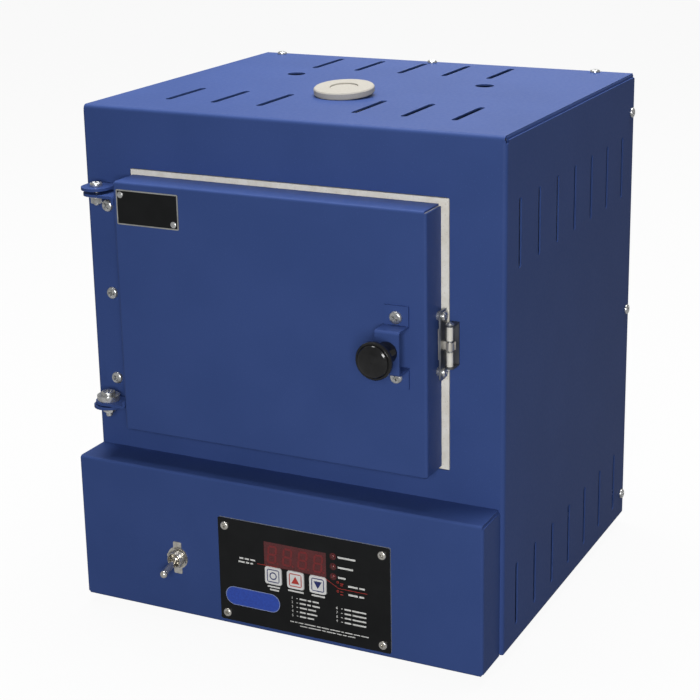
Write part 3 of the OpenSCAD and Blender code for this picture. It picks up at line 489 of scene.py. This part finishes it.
RIM_INK = paint("badge_rim_ink", "8F9CC4", "7C89B5", 0.4)
RING_INK = paint("ring_ink", "571417", "481013")
SEGMENT_INK = paint("segment_ink", "7C2628", "6E2023", 0.35)
BORDER_INK = sheet_metal("bare_border", "D2D2CE", "B4B4B0", 0.36)

NODE_FINISHES = {
    COAT: ["case_shell", "control_box", "back_panel", "base_panel", "case_hinge_bracket",
           "door_pan", "door_hinge_bracket", "handle_bracket"],
    FIBRE: ["front_board", "muffle", "muffle_roof", "door_lining"],
    CERAMIC: ["vent_plug"],
    PORCELAIN: ["vent_sleeve", "terminal_bushings", "thermocouple_block"],
    ZINC: ["back_panel_screws", "underside_screws", "hinge_bracket_screws", "hinge_bolts",
           "hinge_nuts", "hinge_washers", "door_rivets", "handle_screws", "catch_spacers",
           "catch_screws", "roller_pin", "control_plate_screws"],
    GALVANISED: ["muffle_tray", "heat_shield"],
    BARE_STEEL: ["catch_plate"],
    DARK_STEEL_AND_SHADE: ["pin_bracket"],
    SPRING: ["catch_spring"],
    NICKEL: ["toggle_nut", "toggle_plate", "toggle_lever"],
    WIRE: ["element_left", "element_right", "thermocouple"],
    BRASS: ["element_terminals", "board_standoffs"],
    KNOB: ["knob"],
    RUBBER: ["feet"],
    OVERLAY: ["control_plate"],
    NAMEPLATE: ["nameplate"],
    WINDOW: ["display_window"],
    WHITE_KEY: ["key_start", "key_up", "key_down"],
    NYLON: ["roller_upper", "roller_lower"],
    BLACK_PLASTIC: ["display_module", "key_switches", "toggle_switch", "relay", "cord_gland", "gland_nut"],
    CREAM_PLASTIC: ["terminal_block"],
    LENS: ["indicator_leds"],
    BOARD: ["circuit_board"],
}

for finish, names in NODE_FINISHES.items():
    for node_name in names:
        mesh_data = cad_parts[node_name].data
        mesh_data.materials.clear()
        mesh_data.materials.append(finish)


# Fasteners


def cross_recess(width, depth, top):
    """Tapered cross that a screwdriver fits, its wide end at a height above the seat."""
    wings = []
    for turn in (0, 90):
        corner = Vector((width / 2, width * 0.13, depth)) * MM
        wing = block("wing", Vector((-corner.x, -corner.y, 0)), corner)
        choose(wing, "faces", lambda face: face.normal.z < -0.9)
        bpy.ops.transform.resize(value=(0.45, 0.55, 1), center_override=(0, 0, 0))
        shut(wing)
        wing.data.transform(place(Vector((0, 0, (top - depth) * MM)), FACING_UP, turn))
        wings.append(wing)
    return wings


def pan_screw(head_d, head_h, shank_d, length, crown=0.72):
    """Pan-head screw with a cross recess, seated on the origin with its head up.

    The crown is the share of the head's height that is rounded.
    """
    head = rod("screw", head_d / 2, 0, head_h, sides=40)
    top = (head_h - 0.01) * MM
    choose(head, "edges", lambda e: all(v.co.z > top for v in e.verts))
    bpy.ops.mesh.bevel(offset=head_h * crown * MM, segments=6, profile=0.5, affect="EDGES")
    shut(head)
    choose(head, "edges", lambda e: all(v.co.z < 0.01 * MM for v in e.verts))
    bpy.ops.mesh.bevel(offset=0.25 * MM, segments=2, affect="EDGES")
    shut(head)
    for wing in cross_recess(head_d * 0.56, head_h * 0.75, head_h + 0.2):
        cut_out(head, wing)
    shank = rod("shank", shank_d / 2, -length, 0.1, sides=20)
    choose(shank, "edges", lambda e: all(v.co.z < (-length + 0.01) * MM for v in e.verts))
    bpy.ops.mesh.bevel(offset=shank_d * 0.16 * MM, segments=1, affect="EDGES")
    shut(shank)
    return smooth(join("screw", [head, shank]), 30)


CASE_H = 373.0
BACK_SCREW_Y = 270.0
HINGE_X = 19.5
HINGE_Y = -15.5
HINGE_PLATE_Y = -2.0
HANDLE_X = 262.1
HANDLE_Z = 230.4
TOP_SCREWS = [159.2 + i * 140.2 for i in (-1, 0, 1)]
SIDE_SCREWS = [20.0 + i * 161.5 for i in (0, 1, 2)]
HINGE_SCREWS = [233.4 + i * 66.4 for i in (-1, 0, 1)]


def back_panel_screws():
    """Nine screws through the case's rear edges into the back panel."""
    spots = [place(at(x, BACK_SCREW_Y, CASE_H), FACING_UP, 25 * i) for i, x in enumerate(TOP_SCREWS)]
    for i, z in enumerate(SIDE_SCREWS):
        spots.append(place(at(CASE_W, BACK_SCREW_Y, z), FACING_RIGHT, 40 * i + 15))
        spots.append(place(at(0, BACK_SCREW_Y, z), FACING_LEFT, 35 * i + 5))
    piece = copies("back_panel_screw_set", pan_screw(8, 2.3, 4, 9), spots)
    dress(piece, "case", ZINC, "zinc_steel", "back_panel_screws")


def hinge_bracket_screws():
    """Three screws that hold the hinge bracket to the case."""
    spots = [
        place(at(HINGE_X, HINGE_PLATE_Y, z), FACING_FRONT, 30 + 50 * i)
        for i, z in enumerate(HINGE_SCREWS)
    ]
    piece = copies("hinge_bracket_screw_set", pan_screw(9.2, 2.6, 4, 8), spots)
    dress(piece, "case", ZINC, "zinc_steel", "hinge_bracket_screws")


def handle_screws():
    """Two screws hold the bracket to the door, and one from behind holds the knob to the bracket."""
    sheet = 1.6
    bracket_rise = 16.8
    flange_y = DOOR_FACE_Y - sheet
    arm_back_y = DOOR_FACE_Y - bracket_rise + sheet
    flange_z = (HANDLE_Z - 22, HANDLE_Z + 20)
    spots = [place(at(HANDLE_X, flange_y, z), FACING_FRONT, t) for z, t in zip(flange_z, (15, 55))]
    outer = copies("outer", pan_screw(9.2, 2.6, 4, 10), spots)
    knob_at = place(at(HANDLE_X, arm_back_y, HANDLE_Z), FACING_BACK, 10)
    inner = copies("inner", pan_screw(9.2, 2.6, 5, 13), [knob_at])
    piece = join("handle_screw_set", [outer, inner])
    dress(piece, "door", ZINC, "zinc_steel", "handle_screws")


def plate_screws():
    """Four screws at the corners of the control plate."""
    middle = Vector((189.3, 43.5))
    half_span = Vector((63.1, 34.5))
    spots = []
    for i, (side, height) in enumerate([(-1, 1), (1, 1), (-1, -1), (1, -1)]):
        point = at(middle.x + side * half_span.x, PLATE_FACE_Y, middle.y + height * half_span.y)
        spots.append(place(point, FACING_FRONT, 27 * i + 18))
    piece = copies("control_plate_screw_set", pan_screw(6.6, 1.9, 3.3, 7.5), spots)
    dress(piece, "case", NICKEL, "zinc_steel", "control_plate_screws")


def catch_screws():
    """Two screws through the catch plate into the door's edge."""
    door_edge_x = 283.7
    spacer = 3
    plate_t = 1.2
    x = door_edge_x + spacer + plate_t
    y = -6
    middle_z = 228.6
    half_span = 19.8
    spots = [place(at(x, y, middle_z + s * half_span), FACING_RIGHT, 33 * s) for s in (-1, 1)]
    piece = copies("catch_screw_set", pan_screw(7, 2, 3, 9), spots)
    dress(piece, "door", ZINC, "zinc_steel", "catch_screws")


def underside_screws():
    """Screws of the feet and of the control box, seen from below."""
    feet_x = (35, 295)
    feet_y = (32, 244)
    foot_seat = -4
    base_z = -1.2
    seam_y = 10
    seam_pitch = 105
    feet = [place(at(x, y, foot_seat), FACING_DOWN, x) for x in feet_x for y in feet_y]
    foot_set = copies("foot_screws", pan_screw(8, 2.3, 4, 11), feet)
    middle = CASE_W / 2
    seams = [
        place(at(middle + i * seam_pitch, seam_y, base_z), FACING_DOWN, 40 * i) for i in (-1, 0, 1)
    ]
    seam_set = copies("seam_screws", pan_screw(8, 2.3, 4, 9), seams)
    piece = join("underside_screw_set", [foot_set, seam_set])
    dress(piece, "case", ZINC, "zinc_steel", "underside_screws")


def hinge_bolts():
    """The door turns on two bolts with flat heads, the lower one larger."""
    upper_at = place(at(HINGE_X, HINGE_Y, 317.1), FACING_UP, 30)
    lower_at = place(at(HINGE_X, HINGE_Y, 157.8), FACING_UP, 70)
    upper = copies("upper", pan_screw(9.2, 2.8, 5, 14, crown=0.4), [upper_at])
    lower = copies("lower", pan_screw(10.8, 2.8, 5, 17, crown=0.4), [lower_at])
    piece = join("hinge_bolt_set", [upper, lower])
    dress(piece, "case", ZINC, "zinc_steel", "hinge_bolts")


def hex_nut(flats, height, bore):
    """Hexagon nut on the origin, with its corners chamfered at both faces."""
    nut = rod("nut", flats / 2 / cos(radians(30)), 0, height, sides=6)
    lens = rod("lens", flats / 2 * 1.16, -0.01, height + 0.01, sides=64)
    choose(lens, "edges", lambda e: abs(e.verts[0].co.z - e.verts[1].co.z) < 1e-6)
    bpy.ops.mesh.bevel(offset=flats * 0.085 * MM, segments=3, affect="EDGES")
    shut(lens)
    modify(nut, "BOOLEAN", operation="INTERSECT", object=lens, solver="EXACT")
    bpy.data.objects.remove(lens)
    return smooth(cut_out(nut, rod("bore", bore / 2, -1, height + 1, sides=48)), 25)


def hinge_nuts():
    """A nut under each hinge bolt, by the height of its upper face."""
    nut_h = 4.4
    seats = ((309.2, 20), (149, 5))
    spots = [place(at(HINGE_X, HINGE_Y, z - nut_h), FACING_UP, turn) for z, turn in seats]
    piece = copies("hinge_nut_set", hex_nut(8, nut_h, 5.1), spots)
    dress(piece, "case", ZINC, "zinc_steel", "hinge_nuts")


def winding(name, sides, wire_r, coil_r, pitch, turns, steps=12):
    """A wire of some sides wound round the Z axis."""
    deselect()
    bpy.ops.mesh.primitive_circle_add(vertices=sides, radius=wire_r * MM, rotation=(radians(90), 0, 0))
    wire = settle(bpy.context.object, name)
    wire.data.transform(Matrix.Translation((coil_r * MM, 0, 0)))
    modify(
        wire,
        "SCREW",
        axis="Z",
        angle=2 * pi,
        screw_offset=pitch * MM,
        iterations=turns,
        steps=steps,
        render_steps=steps,
        use_smooth_shade=True,
    )
    return wire


SWITCH_AT = at(84, -29.8, 44)
SWITCH_W = 17.0
SWITCH_D = 21.0
SWITCH_H = 28.0


def switch_body():
    """Moulded body behind the panel."""
    low = SWITCH_AT + Vector((-SWITCH_W / 2, 0, -SWITCH_H / 2)) * MM
    high = SWITCH_AT + Vector((SWITCH_W / 2, SWITCH_D, SWITCH_H / 2)) * MM
    body = block("switch_body", low, high)
    choose(body, "edges", lambda e: True)
    bpy.ops.mesh.bevel(offset=0.8 * MM, segments=3, affect="EDGES")
    shut(body)
    dress(smooth(body), "case", BLACK_PLASTIC, "black_matte", "toggle_switch")


def switch_lugs():
    """Two solder lugs with holes, at the back of the body."""
    lug_w = 6
    lug_t = 0.8
    lugs = []
    for z in (-8, 8):
        start = SWITCH_AT + Vector((-lug_w / 2, SWITCH_D - 0.5, z - lug_t / 2)) * MM
        lug = block("lug", start, start + Vector((lug_w, 9.5, lug_t)) * MM)
        hole = rod("hole", 1, -2, 2, sides=20)
        hole.data.transform(Matrix.Translation(start + Vector((lug_w / 2, 6.5, lug_t / 2)) * MM))
        lugs.append(cut_out(lug, hole))
    dress(join("switch_lugs", lugs), "case", BRASS, "brass", "toggle_switch")


def switch_bushing():
    """Threaded tube with a flared mouth that the lever swings in."""
    reach = 7.7
    tube = rod("bushing", 5.65, 0, reach, sides=64)
    choose(tube, "edges", lambda e: all(v.co.z > (reach - 0.01) * MM for v in e.verts))
    bpy.ops.mesh.bevel(offset=0.45 * MM, segments=3, affect="EDGES")
    shut(tube)
    deselect()
    bpy.ops.mesh.primitive_cone_add(
        vertices=48,
        radius1=3.2 * MM,
        radius2=5.2 * MM,
        depth=6 * MM,
        location=(0, 0, (reach - 2.95) * MM),
    )
    cut_out(tube, settle(bpy.context.object, "mouth"))
    cut_out(tube, rod("bore", 3.2, 1.2, 3, sides=48))
    thread = winding("thread", 3, 0.36, 5.72, 0.8, 6, steps=48)
    thread.data.transform(Matrix.Translation((0, 0, 2.2 * MM)))
    bushing = join("switch_bushing", [smooth(tube, 30), thread])
    bushing.data.transform(place(SWITCH_AT, FACING_FRONT))
    dress(bushing, "case", NICKEL, "chrome", "toggle_switch")


def switch_nut():
    """Flat nut that clamps the switch to the panel."""
    nut = hex_nut(14.2, 2.2, 12.1)
    nut.data.transform(place(at(84, -31.8, 44), FACING_FRONT, 12))
    nut.name = "switch_nut"
    dress(nut, "case", NICKEL, "chrome", "toggle_nut")


back_panel_screws()
hinge_bracket_screws()
hinge_nuts()
switch_body()
switch_lugs()
switch_bushing()
switch_nut()
handle_screws()
plate_screws()
catch_screws()
underside_screws()
hinge_bolts()


# Print of the control plate, in plain shapes

PRINT_T = 0.06


def sticker(name, width, height, x, z, y=PLATE_FACE_Y, round_by=0.0, turn=0):
    """Thin flat rectangle that lies on a front face, its corners rounded by a radius in mm."""
    deselect()
    bpy.ops.mesh.primitive_plane_add(size=1)
    leaf = bpy.context.object
    leaf.scale = (width * MM, height * MM, 1)
    settle(leaf, name)
    if round_by:
        choose(leaf, "verts", lambda v: True)
        bpy.ops.mesh.bevel(offset=round_by * MM, segments=8, affect="VERTICES")
        shut(leaf)
    modify(leaf, "SOLIDIFY", thickness=PRINT_T * MM, offset=1)
    leaf.data.transform(place(at(x, y, z), FACING_FRONT, turn))
    return leaf


def bar_row(x, z, height, lengths, gap=1.1):
    """A row of plain bars from its left end, with a gap between each two."""
    bars = []
    for length in lengths:
        bars.append(sticker("bar", length, height, x + length / 2, z))
        x += length + gap
    return bars


def numeral(text, x, z, size):
    """A plain number, as a thin mesh on the plate."""
    deselect()
    bpy.ops.object.text_add()
    glyph = bpy.context.object
    glyph.data.body = text
    glyph.data.size = size * MM
    glyph.data.extrude = PRINT_T / 2 * MM
    bpy.ops.object.convert(target="MESH")
    settle(glyph, "numeral")
    glyph.data.transform(place(at(x, PLATE_FACE_Y - PRINT_T / 2, z), FACING_FRONT))
    return glyph


def hollow_square(name, side, band, x, z, y, round_by):
    """Rounded square outline."""
    leaf = sticker(name, side, side, x, z, y, round_by)
    half = side / 2 - band
    return cut_out(leaf, block("hole", at(x - half, y - 1, z - half), at(x + half, y + 1, z + half)))


def disc(name, radius, x, z, y=PLATE_FACE_Y, sides=32, turn=0):
    """Thin flat disc, or a plain polygon where it has few sides."""
    leaf = rod(name, radius, 0, PRINT_T, sides)
    leaf.data.transform(place(at(x, y, z), FACING_FRONT, turn))
    return leaf


def ring(name, radius, band, x, z, y=PLATE_FACE_Y):
    """Thin flat ring of a band's width."""
    outer = disc(name, radius, x, z, y)
    inner = rod("hole", radius - band, -1, 1)
    inner.data.transform(place(at(x, y, z), FACING_FRONT))
    return cut_out(outer, inner)


# Each row is x, z, the height of its bars and their lengths, in mm
WHITE_ROWS = [
    (137.5, 54.5, 1.3, (3.2, 3.6, 4.0)),
    (136.5, 51.6, 1.3, (5.2, 2.6, 2.2)),
    (217.5, 69.8, 1.4, (14.0,)),
    (217.5, 62.0, 1.4, (12.0,)),
    (217.5, 54.2, 1.4, (6.0,)),
    (225.5, 48.9, 1.4, (7.5, 4.5)),
    (225.5, 42.4, 1.4, (7.5, 3.8)),
    (160.2, 36.6, 1.3, (10.2,)),
    (162.0, 34.2, 1.3, (7.5,)),
    (177.0, 36.6, 1.3, (12.6,)),
    (196.2, 36.6, 1.3, (10.6,)),
]
SMALL_ROWS = [
    (178.0, 12.2, 0.7, (3, 2, 4, 9, 3, 6, 8, 2, 6, 5, 6)),
    (186.0, 9.9, 0.7, (6, 10, 3, 7, 4, 3, 6)),
]
RED_ROWS = [
    (152.2, 52.6, 0.35, (16.0,)),
    (218.0, 45.8, 0.35, (22.2,)),
    (219.2, 49.8, 0.6, (2.4,)),
    (219.2, 48.4, 0.6, (1.9,)),
    (219.2, 43.6, 0.6, (2.2,)),
    (219.2, 41.4, 0.6, (2.2,)),
]
# Each numbered list is x, the z of its first row, its first number and the bars of its rows
NUMBERED_LISTS = [
    (179.5, 31.2, 1, [(5.5, 2.8, 5.0), (5.0, 3.0, 6.0), (5.8, 6.2), (4.6, 8.4), (5.0, 5.2)]),
    (215.5, 30.4, 6, [(5.2, 10.8)] * 4),
]
LIST_PITCH = 3.45
LAMP_X = 213.7
LAMP_Z = (54.2, 62.0, 69.8)


def white_print():
    """Lines of bars, and two numbered lists, each row a number, a dash and bars."""
    numeral_h = 2.8
    dash_in = 4
    bars_in = 6.7
    marks = []
    for row in WHITE_ROWS:
        marks += bar_row(*row)
    for x, top, first, rows in NUMBERED_LISTS:
        for i, lengths in enumerate(rows):
            z = top - LIST_PITCH * i
            marks.append(numeral(str(first + i), x, z - 0.9, numeral_h))
            marks += bar_row(x + dash_in, z, 0.5, [1.2])
            marks += bar_row(x + bars_in, z, 1.2, lengths)
    for row in SMALL_ROWS:
        marks += bar_row(*row, gap=0.9)
    dress(join("plate_lines", marks), "case", WHITE_INK, "overlay")


def red_print():
    """Thin lines that lead from the display, and two small signs with a degree ring."""
    marks = []
    for row in RED_ROWS:
        marks += bar_row(*row)
    marks.append(sticker("bar", 12.4, 0.35, 212.55, 48.75, turn=-28.4))
    marks += [ring("degree", 0.9, 0.35, 217.2, z) for z in (50.6, 43.6)]
    dress(join("red_lines", marks), "case", RED_INK, "overlay")

    rings = [ring("lamp_ring", 2.6, 1.0, LAMP_X, z) for z in LAMP_Z]
    dress(join("lamp_rings", rings), "case", RING_INK, "overlay")


def blank_badge():
    """Plain blue field with round ends and a thin pale rim."""
    x, z = 147.5, 23.3
    width, height, corner = 44, 13.5, 6.7
    rim_w = 0.5
    badge = sticker("blank_badge", width, height, x, z, round_by=corner)
    dress(badge, "case", BADGE_INK, "overlay")
    rim = sticker("badge_rim", width + 2 * rim_w, height + 2 * rim_w, x, z, round_by=corner + rim_w)
    inside = sticker("inside", width, height, x, z, PLATE_FACE_Y + 1, corner)
    back_y = at(0, PLATE_FACE_Y + 1, 0).y
    choose(inside, "verts", lambda v: v.co.y < back_y - PRINT_T / 2 * MM)
    bpy.ops.transform.translate(value=(0, -3 * MM, 0))
    shut(inside)
    dress(cut_out(rim, inside), "case", RIM_INK, "overlay")


def key_marks():
    """Plain signs on the three keys: a ring, an upward and a downward triangle."""
    key_face_y = -33.0
    z = 45.4
    triangle_r = 3.8
    shift = 0.8
    start_x, up_x, down_x = 165.3, 183.35, 201.4
    dial = ring("dial", 3.0, 0.9, start_x, z, key_face_y)
    rise = disc("rise", triangle_r, up_x, z - shift, key_face_y, sides=3)
    fall = disc("fall", triangle_r, down_x, z + shift, key_face_y, sides=3, turn=180)
    marks = {
        "start_key": (start_x, BLUE_INK, dial),
        "up_key": (up_x, RED_INK, rise),
        "down_key": (down_x, BLUE_INK, fall),
    }
    for body, (x, ink, sign) in marks.items():
        outline = hollow_square("frame", 10.2, 0.7, x, z, key_face_y, 1.6)
        dress(join(body + "_sign", [sign, outline]), body, ink, "key_white")


def segment(length, width):
    """One bar of a numeric display, with pointed ends."""
    bar = rod("segment", 1, 0, PRINT_T, sides=6)
    bar.data.transform(Matrix.Rotation(radians(90), 4, "Z"))
    bar.data.transform(Matrix.Diagonal((length / 2, width / 2 / cos(radians(30)), 1, 1)))
    choose(bar, "verts", lambda v: abs(v.co.y) > width * 0.1 * MM)
    bpy.ops.transform.resize(value=((length - width) / (length / 2), 1, 1), center_override=(0, 0, 0))
    return shut(bar)


def display_digits():
    """Four dim digits on the red window, all segments unlit."""
    digit_h = 14.2
    digit_w = 7.6
    bar_w = 1.5
    pitch = 12.4
    lean = 6
    window_x = 183
    window_y = -32.3
    window_z = 61.8
    half = digit_h / 2 - bar_w / 2
    bars = [(0, s * half, 0) for s in (-1, 0, 1)]
    bars += [(s * (digit_w - bar_w) / 2, t * half / 2, 90) for s in (-1, 1) for t in (-1, 1)]
    parts = []
    for i in range(4):
        middle = Vector((window_x + (i - 1.5) * pitch, window_z))
        for dx, dz, turn in bars:
            length = (half if turn else digit_w - bar_w) - 0.4
            bar = segment(length, bar_w)
            x = middle.x + dx + dz * sin(radians(lean))
            spin = turn - lean if turn else 0
            bar.data.transform(place(at(x, window_y, middle.y + dz), FACING_FRONT, spin))
            parts.append(bar)
        dot_x = middle.x + digit_w / 2 + 0.6
        parts.append(disc("dot", 0.75, dot_x, middle.y - half, window_y, sides=16))
    dress(join("display_digits", parts), "case", SEGMENT_INK, "red_window")


def plate_border():
    """Bare metal line round the black nameplate."""
    x0, x1, z0, z1 = 42.9, 94.1, 293.4, 319.0
    line_w = 0.9
    face_y = NAMEPLATE_FACE_Y
    leaf = sticker("bare_border", x1 - x0, z1 - z0, (x0 + x1) / 2, (z0 + z1) / 2, face_y, 1.0)
    low = at(x0 + line_w, face_y - 1.5, z0 + line_w)
    hole = block("hole", low, at(x1 - line_w, face_y + 1.5, z1 - line_w))
    dress(cut_out(leaf, hole), "door", BORDER_INK, "plate_black")


white_print()
red_print()
blank_badge()
key_marks()
display_digits()
plate_border()


# Heating coils

ROW_PITCH = 32.0
ROWS = 4
COIL_START = 34.0
COIL_END = 168.0
TAIL_END = 252.0
WALL = 25.4
FIBRE_X = 39.4
FIBRE_Z = 135.5
CHAMBER_W = 199.0
CHAMBER_H = 142.0
COIL_INSET = 3.0
COIL_X = {
    "left": FIBRE_X + WALL - COIL_INSET,
    "right": FIBRE_X + WALL + CHAMBER_W + COIL_INSET,
}


def row_z(row):
    """Height of a row of coil, counted from the lowest."""
    middle = FIBRE_Z + CHAMBER_H / 2 + WALL
    return middle + (row - (ROWS - 1) / 2) * ROW_PITCH - 0.25


def coil_path(x):
    """Route of a coil in its wall groove: rows joined by round turns."""
    radius = ROW_PITCH / 2
    points = []
    for row in range(ROWS):
        z = row_z(row)
        ends = (COIL_END, COIL_START) if row % 2 == 0 else (COIL_START, COIL_END)
        points += [at(x, ends[0] + (ends[1] - ends[0]) * k / 10, z) for k in range(11)]
        if row < ROWS - 1:
            side = -1 if row % 2 == 0 else 1
            for k in range(1, 12):
                a = pi * k / 12
                y = ends[1] + side * radius * sin(a)
                points.append(at(x, y, z + radius * (1 - cos(a))))
    deselect()
    curve = bpy.data.curves.new("coil_path", "CURVE")
    curve.dimensions = "3D"
    spline = curve.splines.new("POLY")
    spline.points.add(len(points) - 1)
    for spot, point in zip(spline.points, points):
        spot.co = (*point, 1)
    path = bpy.data.objects.new("coil_path", curve)
    bpy.context.collection.objects.link(path)
    length = sum((b - a).length for a, b in zip(points, points[1:]))
    return path, length


def coil(side):
    """Close-wound resistance wire, bent along its groove, with two straight tails."""
    wire_r = 0.65
    coil_r = 3.7 - wire_r
    pitch = 2.6
    path, length = coil_path(COIL_X[side])
    turns = int(length / (pitch * MM))
    wire = winding("element_" + side + "_coil", 7, wire_r, coil_r, length / turns / MM, turns)
    wire.data.transform(Matrix.Rotation(radians(90), 4, "Y"))
    modify(wire, "CURVE", object=path, deform_axis="POS_X")
    bpy.data.objects.remove(path)
    tails = []
    for row in (0, ROWS - 1):
        tail = rod("tail", 1.2, 0, TAIL_END - COIL_END, sides=14)
        choose(tail, "edges", lambda e: abs(e.verts[0].co.z - e.verts[1].co.z) < 1e-6)
        bpy.ops.mesh.bevel(offset=0.3 * MM, segments=2, affect="EDGES")
        shut(tail)
        tail.data.transform(place(at(COIL_X[side], COIL_END, row_z(row)), FACING_BACK))
        tails.append(tail)
    piece = join("element_" + side + "_coil", [wire] + tails)
    choose(piece, "faces", lambda f: True)
    bpy.ops.mesh.normals_make_consistent(inside=False)
    shut(piece)
    dress(smooth(piece, 60), "case", WIRE, "element_alloy", "element_" + side)


coil("left")
coil("right")


# Stage

MIRRORED = 0.28


def seen_share(nodes, direct):
    """How much of the plain white a ray sees: a direct share, all through glass, less mirrored."""
    shares = {"Is Camera Ray": direct, "Is Transmission Ray": 1.0, "Is Glossy Ray": MIRRORED}
    total = 0.0
    for kind, share in shares.items():
        total = nodes.node("LightPath", output=kind) * share + total
    return total


def floor():
    """Plain pale floor that shows white to the camera and keeps a faint shadow."""
    deselect()
    bpy.ops.mesh.primitive_plane_add(size=12)
    ground = settle(bpy.context.object, "floor")
    f = Finish("pale_floor")
    lit_tone = (0.13, 0.13, 0.13, 1)
    seen_tone = (0.6, 0.6, 0.6, 1)
    seen = f.node("LightPath", output="Is Camera Ray")
    f.set(Base_Color=f.blend(seen, lit_tone, seen_tone), Roughness=0.9)
    surface = Wire(f, f.shader.outputs[0])
    white = f.node("Emission")
    mix = f.node("MixShader", None, {0: seen_share(f, 0.94), 1: surface, 2: white})
    f.end_in("Material Output", mix)
    ground.data.materials.append(f.material)


def surroundings():
    """White to the camera and through glass, dimmer in reflections, and a plain grey light."""
    world = bpy.data.worlds.new("studio")
    bpy.context.scene.world = world
    nodes = Nodes(world)
    fill = nodes.node("Background", None, {"Color": (1, 1, 1, 1), "Strength": 0.08})
    white = nodes.node("Background", None, {"Color": (1, 1, 1, 1), "Strength": 1.0})
    mix = nodes.node("MixShader", None, {0: seen_share(nodes, 1.0), 1: fill, 2: white})
    nodes.end_in("World Output", mix)


def softbox(name, point, aim, width, height, watts):
    """Rectangular lamp at a point, turned to a spot that it lights."""
    lamp = bpy.data.lights.new(name, "AREA")
    lamp.shape = "RECTANGLE"
    lamp.size = width
    lamp.size_y = height
    lamp.energy = watts
    box = bpy.data.objects.new(name, lamp)
    bpy.context.collection.objects.link(box)
    box.location = point
    box.rotation_euler = (Vector(aim) - Vector(point)).to_track_quat("-Z", "Y").to_euler()


def camera():
    """The photograph's view, solved from the straight edges of the case."""
    lens = bpy.data.cameras.new("camera")
    lens.sensor_width = 36
    lens.lens = 87.883
    lens.shift_x = -0.0414
    lens.shift_y = -0.0956
    body = bpy.data.objects.new("camera", lens)
    bpy.context.collection.objects.link(body)
    body.location = (0.5574, -1.1304, 0.5945)
    body.rotation_euler = (radians(74.02), radians(0.72), radians(25.35))
    bpy.context.scene.camera = body


floor()
surroundings()
softbox("overhead", (-0.1, 0.3, 1.95), (0, 0.05, 0.3), 1.5, 1.1, 51)
softbox("front_key", (0.68, -1.6, 0.62), (0.05, -0.1, 0.2), 0.6, 0.55, 19)
softbox("rear_rim", (-0.45, 1.8, 1.1), (0, 0, 0.3), 1.0, 0.8, 3)
camera()
bpy.context.scene.view_settings.view_transform = "Standard"
